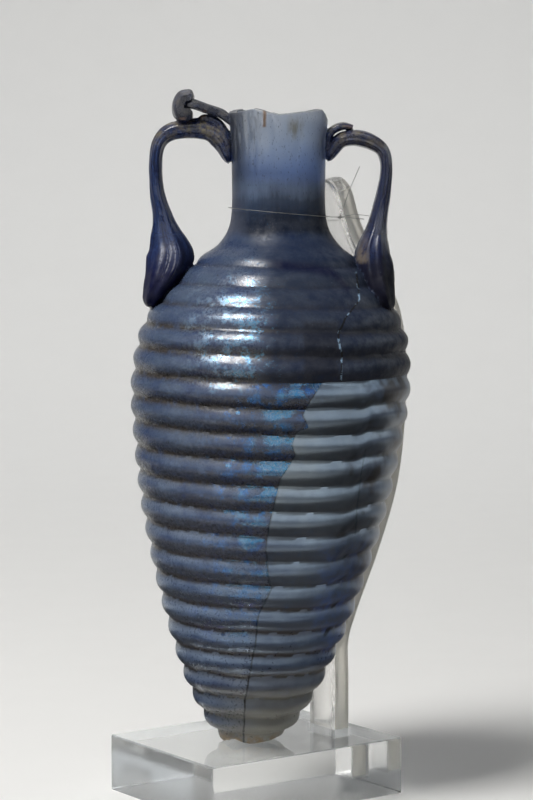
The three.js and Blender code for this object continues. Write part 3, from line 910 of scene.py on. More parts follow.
def wallTree():
    sizes = list(wall["sizes"]) + list(wall["shares"])
    inputs = [("Outline", "Object"), ("Around", "Int"), ("Rows", "Int"), ("Foot Axis", "Vector"),
              ("Neck Axis", "Vector"), ("Seed", "Float"), ("Material", "Material")]
    inputs += [(label, "Float") for label in sizes]
    sheet, given, sockets = startTree("ribbedWall", inputs)
    geometry, around, rows = gridShares(sheet, given["Around"], given["Rows"])
    toMouth, toInside, toTip = wall["turns"]
    along = sheet.calc("SUBTRACT", sheet.ramp(rows, 0.0, toMouth), sheet.ramp(rows, toInside, toTip))
    inset = sheet.calc("SUBTRACT", sheet.ramp(rows, toMouth, toInside), sheet.ramp(rows, toTip, 1.0))
    outside = sheet.calc("SUBTRACT", 1.0, inset)
    angle = sheet.calc("MULTIPLY", around, fullTurn)
    cosine = sheet.calc("COSINE", angle)
    sine = sheet.calc("SINE", angle)
    ring = sheet.join(cosine, sine, given["Seed"])

    # distance along the outline, between the two broken edges
    curve = curveFromChain(sheet, given["Outline"], wall["outlineSteps"])
    length = sheet.node("GeometryNodeCurveLength")
    sheet.feed(length.inputs[0], curve)
    low, high = wall["breakSpan"]
    edges = []
    for heights in (wall["mouthBreak"], wall["tipBreak"]):
        closed = heights + heights[:1]
        points = [(i / len(heights), (height - low) / (high - low)) for i, height in enumerate(closed)]
        level = sheet.calc("MULTIPLY_ADD", sheet.line(around, points), (high - low) * mm, low * mm)
        ragged = evenNoise(sheet, ring, *wall["raggedNoise"])
        edges.append(sheet.calc("ADD", level, sheet.times(ragged, given["Ragged"], 2.0)))
    mouth = sheet.calc("SUBTRACT", length.outputs[0], sheet.calc("SUBTRACT", given["Top"], edges[0]))
    tip = sheet.calc("MAXIMUM", sheet.calc("SUBTRACT", edges[1], given["Foot"]), 0.0)
    distance = sheet.between(along, tip, mouth)
    sample = sheet.node("GeometryNodeSampleCurve", mode="LENGTH")
    sheet.feed(sample.inputs["Curves"], curve)
    sheet.feed(sample.inputs["Length"], distance)
    radius, _, height = sheet.split(sample.outputs["Position"])
    runOut, _, runUp = sheet.split(sample.outputs["Tangent"])

    # ribs: rounded crests, narrow grooves, uneven as hand work is
    unevenHeight = sheet.calc("MULTIPLY_ADD", height, wall["unevenRise"], given["Seed"])
    unevenPlace = sheet.join(cosine, sine, unevenHeight)
    unevenShift = evenNoise(sheet, unevenPlace, *wall["shiftNoise"])
    sherd = sheet.times(sheet.ramp(around, *wall["sherdStart"]), sheet.ramp(around, *wall["sherdEnd"]))
    for span in ("sherdLow", "sherdTop"):
        sherd = sheet.times(sherd, sheet.ramp(height, *(level * mm for level in wall[span])))
    shifted = sheet.calc("ADD", distance, sheet.times(unevenShift, given["Uneven Shift"], 2.0))
    shifted = sheet.calc("SUBTRACT", shifted, sheet.times(sherd, given["Sherd Step"]))
    phase = sheet.calc("DIVIDE", sheet.calc("SUBTRACT", shifted, given["First Groove"]), given["Rib Pitch"])
    wave = sheet.calc("ABSOLUTE", sheet.calc("SINE", sheet.calc("MULTIPLY", phase, math.pi)))
    shoulder = sheet.ramp(height, given["Shoulder Start"], given["Shoulder End"], True)
    neck = sheet.ramp(height, given["Last Rib"], given["Neck Root"], True)
    strength = sheet.times(
        sheet.between(shoulder, 1.0, given["Shoulder Ribs"]), sheet.calc("SUBTRACT", 1.0, neck))
    unevenDepth = evenNoise(sheet, unevenPlace, *wall["depthNoise"])
    unevenDepth = sheet.calc("MULTIPLY_ADD", sheet.times(unevenDepth, given["Uneven Depth"]), 2.0, 1.0)
    dip = sheet.times(given["Rib Depth"], strength, unevenDepth, sheet.calc("SUBTRACT", 1.0, wave))
    swell = sheet.times(evenNoise(sheet, ring, *wall["swellNoise"]), given["Swell"])
    push = sheet.calc("SUBTRACT", sheet.times(swell, strength), sheet.times(dip, outside))
    push = sheet.calc("SUBTRACT", push, sheet.times(inset, given["Wall"]))
    radius = sheet.calc("MULTIPLY_ADD", runUp, push, radius)
    height = sheet.calc("SUBTRACT", height, sheet.calc("MULTIPLY", runOut, push))

    # lean of the axis, and the small tilt of the ribs
    rise = sheet.ramp(height, given["Foot"], given["Neck Root"])
    bow = sheet.calc("SQRT", sheet.calc("SINE", sheet.calc("MULTIPLY", rise, math.pi)))
    tilt = sheet.times(bow, given["Rib Tilt"])
    flat = sheet.calc("MULTIPLY", radius, cosine)
    height = sheet.calc("SUBTRACT", height, sheet.calc("MULTIPLY", tilt, flat))
    axis = sheet.vector("ADD", sheet.vector("SCALE", given["Foot Axis"], sheet.calc("SUBTRACT", 1.0, rise)),
                        sheet.vector("SCALE", given["Neck Axis"], rise))
    place = sheet.vector("ADD", axis, sheet.join(flat, sheet.calc("MULTIPLY", radius, sine), height))
    bare = sheet.calc("SUBTRACT", 1.0, sheet.times(strength, sheet.calc("SUBTRACT", 1.0, wave)))
    geometry = keepValue(sheet, geometry, "ribWave", bare)
    # a broken edge: 1 half-way between the outside and the inside, 0 on both walls
    edge = sheet.times(inset, outside, 4.0)
    geometry = keepValue(sheet, geometry, "breakShare", edge)
    endTree(sheet, given, setPlace(sheet, geometry, place), wall["weld"] * mm)
    return sheet.tree, sockets


def makeWall(material):
    tree, sockets = wallTree()
    outline = makeChain("flaskOutline", [(r * mm, 0.0, z * mm) for r, z in wall["outline"]])
    values = {"Outline": outline, "Material": material}
    values.update({"Around": wall["around"], "Rows": wall["rows"], "Seed": wall["seed"]})
    values["Foot Axis"] = [number * mm for number in wall["footAxis"]]
    values["Neck Axis"] = [number * mm for number in wall["neckAxis"]]
    values.update({label: size * mm for label, size in wall["sizes"].items()})
    values.update(wall["shares"])
    made = growMesh("ribbedWall", tree, sockets, values)
    bpy.data.objects.remove(outline)
    turnOutwards(made.data)
    return made


def faceOutwards(work):
    bmesh.ops.recalc_face_normals(work, faces=work.faces)
    if work.calc_volume(signed=True) < 0:
        bmesh.ops.reverse_faces(work, faces=work.faces)


# splits faces of many corners and shades all of them smooth
def smoothFaces(work):
    bmesh.ops.triangulate(work, faces=[face for face in work.faces if len(face.verts) > 4])
    for face in work.faces:
        face.smooth = True


def turnOutwards(mesh):
    work = bmesh.new()
    work.from_mesh(mesh)
    faceOutwards(work)
    work.to_mesh(mesh)
    work.free()


# Glass trails: the two handles and the folded ends. Place, then half thickness and half width, in mm.
straps = {
    "leftHandle": [
        (-22.3, 102.8, 1.5, 5), (-21.2, 105.6, 2.4, 7.5), (-19.6, 108.8, 3.6, 8), (-18.3, 111.8, 4.6, 7),
        (-17.8, 114.3, 4.7, 5.6), (-18.2, 116.5, 4, 4.4), (-18.8, 118.9, 3, 3.6), (-19.3, 121.6, 2.1, 3.1),
        (-20.5, 127, 1.5, 2.8), (-20.8, 133.3, 1.35, 2.8), (-20.1, 137.2, 1.5, 2.9), (-17.8, 139.4, 1.8, 3),
        (-13.8, 140.2, 2, 3.1), (-9.8, 140, 2.3, 3.3), (-7.2, 138.2, 2.4, 3.3), (-6, 135.3, 1.6, 2.9),
        (-5.7, 132.9, 0.8, 2.1),
    ],
    "rightHandle": [
        (27.7, 101.6, 1.6, 7), (26.4, 104.4, 2.9, 10.5), (25.1, 108, 3.9, 10.3), (24.4, 112.4, 4.1, 8),
        (24.6, 116, 3.2, 5.4), (25.1, 118.8, 2.3, 3.8), (25.8, 122.5, 1.75, 2.8), (26.7, 127.1, 1.45, 2.7),
        (27.2, 132.1, 1.25, 2.7), (26.5, 135.5, 1.35, 2.8), (24.1, 137.4, 1.6, 2.9), (20.8, 138.3, 1.65, 3),
        (17.8, 137.8, 1.6, 3.1), (15.9, 135.8, 1.5, 2.8), (15, 133.4, 0.8, 2.1),
    ],
    "leftFold": [
        (-5.6, 134.5, 0.7, 2.2), (-5.9, 138, 1, 2.6), (-7.8, 141.2, 1, 2.6), (-10.3, 142.3, 0.9, 2.4),
        (-12, 142, 0.6, 1.8),
    ],
    "rightFold": [
        (15, 134, 0.7, 2.2), (14.9, 137.6, 0.9, 2.6), (15.7, 139.6, 0.9, 2.6), (18, 140.7, 0.85, 2.4),
        (20.4, 140.3, 0.6, 1.8),
    ],
    "sides": 44,
    "steps": {"leftHandle": 130, "rightHandle": 130, "leftFold": 34, "rightFold": 34},
    "ridges": {"leftHandle": 7, "rightHandle": 9, "leftFold": 5, "rightFold": 5},
    "ridgeDepth": 0.04,
    "endShare": 0.035,
    "evenShare": 0.04,
    "wobble": 0.22,
    "pathSteps": 16,
    "lumpRise": 7.0,
    "lumpScale": 1.4,
    "fibreRise": 8.0,
    "seedStep": 20.0,
    "weld": 0.02,
}


def strapTree():
    shares = ("Ridges", "Ridge Depth", "End Share", "Even Share", "Wobble", "Seed")
    inputs = [("Path", "Object"), ("Sides", "Int"), ("Steps", "Int"), ("Material", "Material")]
    inputs += [(label, "Float") for label in shares]
    sheet, given, sockets = startTree("glassTrail", inputs)
    geometry, around, along = gridShares(sheet, given["Sides"], given["Steps"])
    curve = curveFromChain(sheet, given["Path"], straps["pathSteps"])
    half = sheet.node("GeometryNodeInputNamedAttribute", data_type="FLOAT_VECTOR")
    half.inputs["Name"].default_value = "half"
    sample = sheet.node("GeometryNodeSampleCurve", mode="FACTOR", data_type="FLOAT_VECTOR")
    sheet.feed(sample.inputs["Curves"], curve)
    sheet.feed(sample.inputs["Factor"], along)
    sheet.feed(next(s for s in sample.inputs if s.name == "Value" and s.enabled), half.outputs[0])
    girth = sheet.split(next(s for s in sample.outputs if s.name == "Value" and s.enabled))
    across = sheet.join(0.0, 1.0, 0.0)
    ends = []
    for side in (-1, 1):
        nearby = sheet.node("GeometryNodeSampleCurve", mode="FACTOR")
        sheet.feed(nearby.inputs["Curves"], curve)
        sheet.feed(nearby.inputs["Factor"], sheet.calc("ADD", along, sheet.times(given["Even Share"], side)))
        ends.append(nearby.outputs["Position"])
    heading = sheet.vector("SUBTRACT", ends[1], ends[0])
    up = sheet.vector("NORMALIZE", sheet.vector("CROSS_PRODUCT", heading, across))
    angle = sheet.calc("MULTIPLY", around, fullTurn)
    cosine = sheet.calc("COSINE", angle)
    sine = sheet.calc("SINE", angle)
    toEnd = sheet.calc("MINIMUM", along, sheet.calc("SUBTRACT", 1.0, along))
    nearEnd = sheet.calc("SUBTRACT", 1.0, sheet.ramp(toEnd, 0.0, given["End Share"]))
    taper = sheet.calc("SQRT", sheet.calc("SUBTRACT", 1.0, sheet.calc("MULTIPLY", nearEnd, nearEnd)))
    ridge = sheet.calc("COSINE", sheet.calc("MULTIPLY", angle, given["Ridges"]))
    lumpPlace = sheet.join(cosine, sine, sheet.calc("MULTIPLY", along, straps["lumpRise"]))
    lump = evenNoise(sheet, lumpPlace, straps["lumpScale"])
    swell = sheet.calc("ADD", sheet.times(ridge, given["Ridge Depth"]), sheet.times(lump, given["Wobble"]))
    size = sheet.times(taper, sheet.calc("ADD", swell, 1.0))
    wide = sheet.vector("SCALE", across, sheet.times(girth[1], cosine, size))
    thick = sheet.vector("SCALE", up, sheet.times(girth[0], sine, size))
    place = sheet.vector("ADD", sample.outputs["Position"], sheet.vector("ADD", wide, thick))
    fibreRise = sheet.calc("MULTIPLY_ADD", along, straps["fibreRise"], given["Seed"])
    strapPlace = sheet.join(cosine, sine, fibreRise)
    geometry = keepValue(sheet, geometry, "strapPlace", strapPlace, "FLOAT_VECTOR")
    endTree(sheet, given, setPlace(sheet, geometry, place), straps["weld"] * mm)
    return sheet.tree, sockets


def makeStraps(material):
    tree, sockets = strapTree()
    made = []
    for seed, name in enumerate(("leftHandle", "rightHandle", "leftFold", "rightFold")):
        stations = straps[name]
        points = [(x * mm, 0.0, z * mm) for x, z, _, _ in stations]
        halves = [(thick * mm, wide * mm, 0.0) for _, _, thick, wide in stations]
        path = makeChain(name + "Path", points, halves)
        values = {
            "Path": path, "Sides": straps["sides"], "Steps": straps["steps"][name], "Material": material,
            "Ridges": float(straps["ridges"][name]), "Ridge Depth": straps["ridgeDepth"],
            "End Share": straps["endShare"], "Even Share": straps["evenShare"],
            "Wobble": straps["wobble"], "Seed": seed * straps["seedStep"],
        }
        strap = growMesh(name, tree, sockets, values)
        bpy.data.objects.remove(path)
        turnOutwards(strap.data)
        made.append(strap)
    return made


# Rim fragment standing over the left handle: distance from the neck's axis and height, in mm.
rim = {
    "wall": [(9.4, 141.4), (11.8, 143.2), (15, 144.3), (17.9, 145.3), (19.8, 145.4)],
    "wallHalf": 0.75,
    "roll": [(18.7, 147.1), (20.3, 146.7), (21.2, 144.9), (20.8, 143.1), (19, 142.8)],
    "rollHalf": 0.95,
    "spread": math.radians(15),
    "steps": 22,
    "lineSteps": 8,
    "endSteps": 6,
    "ragged": 0.28,
    "waves": 9.0,
    "endShrink": 0.35,
    "endPower": 6,
    "breakShare": 0.4,
    "strapShare": 0.6,
    "fibreScale": 100.0,
}


def smoothLine(points, steps):
    line = []
    last = len(points) - 1
    for i in range(last):
        before, here, there, after = (Vector(points[min(max(k, 0), last)]) for k in (i - 1, i, i + 1, i + 2))
        for step in range(steps):
            t = step / steps
            bend = 2 * before - 5 * here + 4 * there - after
            twist = 3 * here - before - 3 * there + after
            line.append(0.5 * (2 * here + (there - before) * t + bend * t ** 2 + twist * t ** 3))
    line.append(Vector(points[-1]))
    return line


def headingAt(line, i):
    return (line[min(i + 1, len(line) - 1)] - line[max(i - 1, 0)]).normalized()


# closed outline of a ribbon with round ends
def ribbonOutline(points, half, steps, endSteps):
    line = smoothLine(points, steps)
    left, right = [], []
    for i, point in enumerate(line):
        along = headingAt(line, i)
        side = Vector((-along.y, along.x)) * half
        left.append(point + side)
        right.append(point - side)
    caps = []
    for end, toward in ((-1, line[-1] - line[-2]), (0, line[0] - line[1])):
        start = math.atan2(toward.y, toward.x) + quarterTurn
        angles = (start - math.pi * k / endSteps for k in range(1, endSteps))
        caps.append([line[end] + half * Vector((math.cos(a), math.sin(a))) for a in angles])
    return left + caps[0] + right[::-1] + caps[1]


# mesh over rings of equal length, capped at both ends
def skinRings(name, rings):
    work = bmesh.new()
    corners = [[work.verts.new(point) for point in ring] for ring in rings]
    count = len(rings[0])
    for near, far in zip(corners, corners[1:]):
        for j in range(count):
            k = (j + 1) % count
            work.faces.new((near[j], near[k], far[k], far[j]))
    for ring in (corners[0], corners[-1]):
        work.faces.new(ring)
    faceOutwards(work)
    smoothFaces(work)
    mesh = bpy.data.meshes.new(name)
    work.to_mesh(mesh)
    work.free()
    return makeObject(name, mesh)


def makeRim():
    axis = Vector(wall["neckAxis"])
    made = []
    for part in ("wall", "roll"):
        outline = ribbonOutline(rim[part], rim[part + "Half"], rim["lineSteps"], rim["endSteps"])
        middle = sum((point for point in outline), Vector((0.0, 0.0))) / len(outline)
        rings = []
        for step in range(rim["steps"] + 1):
            turn = 1 - 2 * step / rim["steps"]
            angle = math.pi + rim["spread"] * turn
            shrink = 1 - rim["endShrink"] * abs(turn) ** rim["endPower"]
            lift = rim["ragged"] * math.sin(rim["waves"] * turn + len(part))
            ring = []
            for point in outline:
                reach, height = middle + (point - middle) * shrink
                place = Vector((axis.x + reach * math.cos(angle), reach * math.sin(angle), height + lift))
                ring.append(place * mm)
            rings.append(ring)
        made.append(skinRings("rim" + part.title(), rings))
    return made


def combine(base, tool, operation):
    modifier = base.modifiers.new("combine", "BOOLEAN")
    modifier.object = tool
    modifier.operation = operation
    modifier.solver = "MANIFOLD"
    settleMesh(base)
    return base


# Hollow of the body, which cuts off what of the trails would reach into it. Sizes in mm.
hollow = {
    "bottom": 2.0,
    "top": 160.0,
    "lineSteps": 6,
    "sides": 64,
}


def makeHollow():
    outline = smoothLine(wall["outline"], hollow["lineSteps"])
    outline.insert(0, Vector((outline[0].x, hollow["bottom"])))
    outline.append(Vector((outline[-1].x, hollow["top"])))
    foot, root = wall["sizes"]["Foot"], wall["sizes"]["Neck Root"]
    rings = []
    for point in outline:
        rise = min(max((point.y - foot) / (root - foot), 0.0), 1.0)
        axis = Vector(wall["footAxis"]).lerp(Vector(wall["neckAxis"]), rise)
        radius = point.x - wall["sizes"]["Wall"]
        ring = []
        for step in range(hollow["sides"]):
            angle = fullTurn * step / hollow["sides"]
            ring.append((axis + Vector((radius * math.cos(angle), radius * math.sin(angle), point.y))) * mm)
        rings.append(ring)
    return skinRings("hollow", rings)


# copies a tree's values from the pieces it made to the joined flask, by nearest corner
def carryValues(flask, wallPiece, strapPieces):
    pieces = [wallPiece] + strapPieces
    tree = KDTree(sum(len(piece.data.vertices) for piece in pieces))
    values = []
    for piece in pieces:
        isStrap = piece is not wallPiece
        data = piece.data.attributes
        for i, vertex in enumerate(piece.data.vertices):
            tree.insert(vertex.co, len(values))
            if not isStrap:
                ribbed, broken = data["ribWave"].data[i].value, data["breakShare"].data[i].value
                values.append((ribbed, broken, 0.0, (0.0, 0.0, 0.0)))
            elif "strapPlace" in data:
                values.append((1.0, 0.0, 1.0, tuple(data["strapPlace"].data[i].vector)))
            else:
                place = tuple(vertex.co * rim["fibreScale"])
                values.append((1.0, rim["breakShare"], rim["strapShare"], place))
    tree.balance()
    found = [values[tree.find(vertex.co)[1]] for vertex in flask.data.vertices]
    for name in ("ribWave", "breakShare", "strapShare", "strapPlace"):
        if name in flask.data.attributes:
            flask.data.attributes.remove(flask.data.attributes[name])
    for place, name in enumerate(("ribWave", "breakShare", "strapShare")):
        layer = flask.data.attributes.new(name, "FLOAT", "POINT")
        layer.data.foreach_set("value", [row[place] for row in found])
    layer = flask.data.attributes.new("strapPlace", "FLOAT_VECTOR", "POINT")
    layer.data.foreach_set("vector", [number for row in found for number in row[3]])


# Seams where trails meet the wall. Sizes in mm.
seams = {
    "newCorner": 0.002,
    "reach": 0.7,
    "rounds": 4,
    "shortest": 0.004,
    "sharp": math.radians(52),
}


# rounds the seams: corners that no piece had before are on a seam
def softenSeams(flask, sources):
    old = KDTree(sum(len(piece.data.vertices) for piece in sources))
    for piece in sources:
        for vertex in piece.data.vertices:
            old.insert(vertex.co, 0)
    old.balance()
    work = bmesh.new()
    work.from_mesh(flask.data)
    seam = [vertex for vertex in work.verts if old.find(vertex.co)[2] > seams["newCorner"] * mm]
    nearSeam = KDTree(max(len(seam), 1))
    for i, vertex in enumerate(seam):
        nearSeam.insert(vertex.co, i)
    nearSeam.balance()
    reach = seams["reach"] * mm
    soft = [vertex for vertex in work.verts if seam and nearSeam.find(vertex.co)[2] < reach]
    for _ in range(seams["rounds"]):
        bmesh.ops.smooth_vert(work, verts=soft, factor=0.5, use_axis_x=True, use_axis_y=True, use_axis_z=True)
    bmesh.ops.dissolve_degenerate(work, dist=seams["shortest"] * mm, edges=work.edges)
    smoothFaces(work)
    for edge in work.edges:
        edge.smooth = not edge.is_manifold or edge.calc_face_angle(0.0) < seams["sharp"]
    work.to_mesh(flask.data)
    work.free()
    print("seam corners", len(seam), "softened", len(soft))


def makeFlask():
    material = makeFlaskGlass()
    wallPiece = makeWall(material)
    print("wall faces", len(wallPiece.data.polygons))
    trails = makeStraps(material) + makeRim()
    inside = makeHollow()
    flask = makeObject("glassFlask", wallPiece.data.copy())
    for trail in trails:
        combine(trail, inside, "DIFFERENCE")
        combine(flask, trail, "UNION")
    softenSeams(flask, [wallPiece] + trails)
    carryValues(flask, wallPiece, trails)
    flask.data.materials.clear()
    flask.data.materials.append(material)
    for piece in [wallPiece, inside] + trails:
        bpy.data.objects.remove(piece)
    print("flask faces", len(flask.data.polygons))
    return flask


# Stand of clear acrylic. Sizes in mm, on the stand's own axes: X out along the block.
stand = {
    "turn": math.radians(35.5),
    "block": (48.4, 38.6, 12.0),
    "blockEdge": 0.35,
    "edgeSteps": 3,
    "stripWidth": 9.0,
    "stripThickness": 4.0,
    "stripEdge": 0.25,
    "stripTop": 130.0,
    "slotDepth": 9.5,
    "slotGap": 0.3,
    "line": [
        (19.4, 2.8), (19.4, 22), (19.4, 31), (22, 38.5), (28, 51.5), (32.8, 65), (34.8, 80), (34.9, 92),
        (32.9, 102), (27.3, 111), (22.9, 119), (20.4, 126), (19.2, 131),
    ],
    "lineSteps": 12,
    # how far a face's normal leans to count as top, underside or sawn edge
    "levelFace": 0.5,
    "sawnFace": 0.9,
    "smoothFace": 0.2,
    "ior": 1.49,
    "scratchNoise": (900.0, 4.0, 0.6),
    "scratchLevel": (0.5, 0.75),
    # tint, share of light that passes, roughness, stretch of the scratches; the grey tints of the satin sides
    # and the ground underside are painted shade
    "finishes": {
        "clearAcrylic": ((0.97, 0.98, 0.975, 1.0), 1.0, (0.0, 0.03), (2.0, 2.0, 2.0)),
        "satinAcrylic": ((0.76, 0.765, 0.76, 1.0), 1.0, (0.10, 0.13), (0.6, 0.6, 0.6)),
        "groundAcrylic": ((0.40, 0.405, 0.40, 1.0), 0.85, (0.4, 0.6), (2.0, 2.0, 2.0)),
        "scratchedAcrylic": ((0.93, 0.92, 0.90, 1.0), 0.96, (0.16, 0.34), (6.0, 6.0, 0.4)),
        "sawnAcrylic": ((0.82, 0.79, 0.72, 1.0), 0.75, (0.30, 0.45), (2.0, 2.0, 6.0)),
    },
}


def makeAcrylic(name):
    tint, clear, rough, stretch = stand["finishes"][name]
    material, sheet, shader, place = newMaterial(name)
    shader.inputs["Base Color"].default_value = tint
    shader.inputs["Transmission Weight"].default_value = clear
    shader.inputs["IOR"].default_value = stand["ior"]
    scratch = sheet.noise(sheet.vector("MULTIPLY", place, stretch), *stand["scratchNoise"])
    scratched = sheet.ramp(scratch, *stand["scratchLevel"])
    sheet.feed(shader.inputs["Roughness"], sheet.between(scratched, *rough))
    return material


def addBox(work, size, middle):
    bmesh.ops.create_cube(work, size=1.0)
    bmesh.ops.scale(work, vec=[number * mm for number in size], verts=work.verts)
    bmesh.ops.translate(work, vec=[number * mm for number in middle], verts=work.verts)


def makeBlock():
    long, wide, high = stand["block"]
    mesh = bpy.data.meshes.new("standBlock")
    work = bmesh.new()
    addBox(work, (long, wide, high), (0, 0, high / 2))
    bmesh.ops.bevel(work, geom=list(work.edges), offset=stand["blockEdge"] * mm, segments=stand["edgeSteps"],
                    profile=0.5, affect="EDGES")
    work.to_mesh(mesh)
    work.clear()
    gap = 2 * stand["slotGap"]
    size = (stand["stripThickness"] + gap, stand["stripWidth"] + gap, 2 * stand["slotDepth"])
    addBox(work, size, (stand["line"][0][0], 0, high))
    slotMesh = bpy.data.meshes.new("slot")
    work.to_mesh(slotMesh)
    work.free()
    block = makeObject("standBlock", mesh)
    slot = makeObject("slot", slotMesh)
    combine(block, slot, "DIFFERENCE")
    bpy.data.objects.remove(slot)
    block.data.transform(Matrix.Rotation(stand["turn"], 4, "Z"))
    block.data.materials.clear()
    for name in ("clearAcrylic", "satinAcrylic", "groundAcrylic"):
        block.data.materials.append(makeAcrylic(name))
    level = stand["levelFace"]
    for face in block.data.polygons:
        face.material_index = 0 if face.normal.z > level else 1
        if face.normal.z < -level and face.center.z < mm:
            face.material_index = 2
    return block


# bent strip: a rounded bar section along the line, narrowing to its round top
def makeStrip():
    line = smoothLine(stand["line"], stand["lineSteps"])
    half = stand["stripWidth"] / 2
    thick = stand["stripThickness"] / 2
    edge = stand["stripEdge"]
    rings = []
    for i, point in enumerate(line):
        along = headingAt(line, i)
        out = Vector((along.y, -along.x))
        over = max(point.y - (stand["stripTop"] - half), 0.0)
        if over >= half:
            break
        wide = math.sqrt(half ** 2 - over ** 2)
        section = [(thick, wide - edge), (thick - edge, wide), (edge - thick, wide), (-thick, wide - edge)]
        section = section + [(a, -b) for a, b in reversed(section)]
        ring = []
        for outward, sideways in section:
            place = point + out * outward
            ring.append(Vector((place.x, sideways, place.y)) * mm)
        rings.append(ring)
    strip = skinRings("standStrip", rings)
    strip.data.transform(Matrix.Rotation(stand["turn"], 4, "Z"))
    for name in ("scratchedAcrylic", "sawnAcrylic"):
        strip.data.materials.append(makeAcrylic(name))
    side = Matrix.Rotation(stand["turn"], 3, "Z") @ Vector((0, 1, 0))
    for face in strip.data.polygons:
        lean = abs(face.normal.dot(side))
        face.use_smooth = lean < stand["smoothFace"]
        face.material_index = 1 if lean > stand["sawnFace"] else 0
    return strip


# Thread round the neck and the strip, with its knot and cut ends. Sizes in mm.
thread = {
    "radius": 0.075,
    "height": 122.9,
    "slope": -0.09,
    "neckRadius": 9.75,
    "gap": 0.3,
    "standOff": 0.8,
    "arcSteps": 48,
    "sides": 8,
    "knotRadius": 0.3,
    "knotTurns": 4,
    "knotSteps": 14,
    "turnPitch": 1.7,
    "ends": [(21.9, 7.6, 132.4), (24, 8, 122)],
    "endLift": 0.5,
    "weld": 0.001,
    "shade": (0.34, 0.34, 0.33, 1.0),
    "tint": (0.45, 0.45, 0.44, 1.0),
    "fleckNoise": (2500.0, 3.0),
    "rough": (0.22, 0.42),
    "clear": 0.85,
}


def stripReach(height):
    return min(smoothLine(stand["line"], stand["lineSteps"]), key=lambda point: abs(point.y - height)).x


def threadRoute():
    neck = Vector(wall["neckAxis"]).to_2d()
    reach = stripReach(thread["height"])
    beside = stand["stripWidth"] / 2 + thread["gap"] + thread["radius"]
    deep = stand["stripThickness"] * thread["standOff"]
    turn = Matrix.Rotation(stand["turn"], 2)
    corners = [turn @ Vector((reach + x, y))
               for x, y in ((-deep, -beside), (deep, -beside), (deep, beside), (-deep, beside))]
    radius = thread["neckRadius"] + 2 * thread["gap"] + thread["radius"]
    swings = []
    for corner, sign in ((corners[0], -1), (corners[3], 1)):
        away = corner - neck
        swings.append(math.atan2(away.y, away.x) + sign * math.acos(radius / away.length))
    start, end = swings
    sweep = (start - end) % fullTurn
    plan = []
    for i in range(thread["arcSteps"] + 1):
        angle = end + sweep * i / thread["arcSteps"]
        plan.append(neck + radius * Vector((math.cos(angle), math.sin(angle))))
    route = [Vector((p.x, p.y, thread["height"] + thread["slope"] * (p.x - neck.x))) for p in plan + corners]
    return route, route[len(plan)]


def threadTree():
    inputs = [("Path", "Object"), ("Radius", "Float"), ("Sides", "Int"), ("Material", "Material")]
    sheet, given, sockets = startTree("threadAlongPath", inputs)
    info = sheet.node("GeometryNodeObjectInfo")
    sheet.feed(info.inputs["Object"], given["Path"])
    toCurve = sheet.node("GeometryNodeMeshToCurve")
    sheet.feed(toCurve.inputs[0], info.outputs["Geometry"])
    ring = sheet.node("GeometryNodeCurvePrimitiveCircle")
    sheet.feed(ring.inputs["Resolution"], given["Sides"])
    sheet.feed(ring.inputs["Radius"], given["Radius"])
    tube = sheet.node("GeometryNodeCurveToMesh")
    sheet.feed(tube.inputs["Curve"], toCurve.outputs[0])
    sheet.feed(tube.inputs["Profile Curve"], ring.outputs[0])
    sheet.feed(tube.inputs["Fill Caps"], True)
    endTree(sheet, given, tube.outputs[0], thread["weld"] * mm)
    return sheet.tree, sockets


def makeThreadFinish():
    material, sheet, shader, place = newMaterial("nylonThread")
    fleck = sheet.noise(place, *thread["fleckNoise"])
    sheet.feed(shader.inputs["Base Color"], sheet.colour(fleck, thread["shade"], thread["tint"]))
    sheet.feed(shader.inputs["Roughness"], sheet.between(fleck, *thread["rough"]))
    shader.inputs["Transmission Weight"].default_value = thread["clear"]
    return material


def makeThread():
    tree, sockets = threadTree()
    material = makeThreadFinish()
    route, tied = threadRoute()
    knot = []
    wide = thread["knotRadius"]
    for i in range(thread["knotTurns"] * thread["knotSteps"] + 1):
        angle = fullTurn * i / thread["knotSteps"]
        climb = (i / thread["knotSteps"] - thread["knotTurns"] / 2) * thread["turnPitch"] * thread["radius"]
        knot.append(tied + Vector((wide * math.cos(angle), climb, wide * math.sin(angle))))
    paths = [route + route[:1], knot]
    for end in thread["ends"]:
        lifted = tied.lerp(Vector(end), 0.5) + Vector((0, 0, thread["endLift"]))
        paths.append([tied, lifted, Vector(end)])
    values = {"Radius": thread["radius"] * mm, "Sides": thread["sides"], "Material": material}
    work = bmesh.new()
    for points in paths:
        path = makeChain("threadPath", [point * mm for point in points])
        tube = growMesh("threadRun", tree, sockets, {"Path": path, **values})
        work.from_mesh(tube.data)
        bpy.data.objects.remove(path)
        bpy.data.objects.remove(tube)
    bmesh.ops.recalc_face_normals(work, faces=work.faces)
    mesh = bpy.data.meshes.new("tieThread")
    work.to_mesh(mesh)
    work.free()
    mesh.materials.append(material)
    return makeObject("tieThread", mesh)


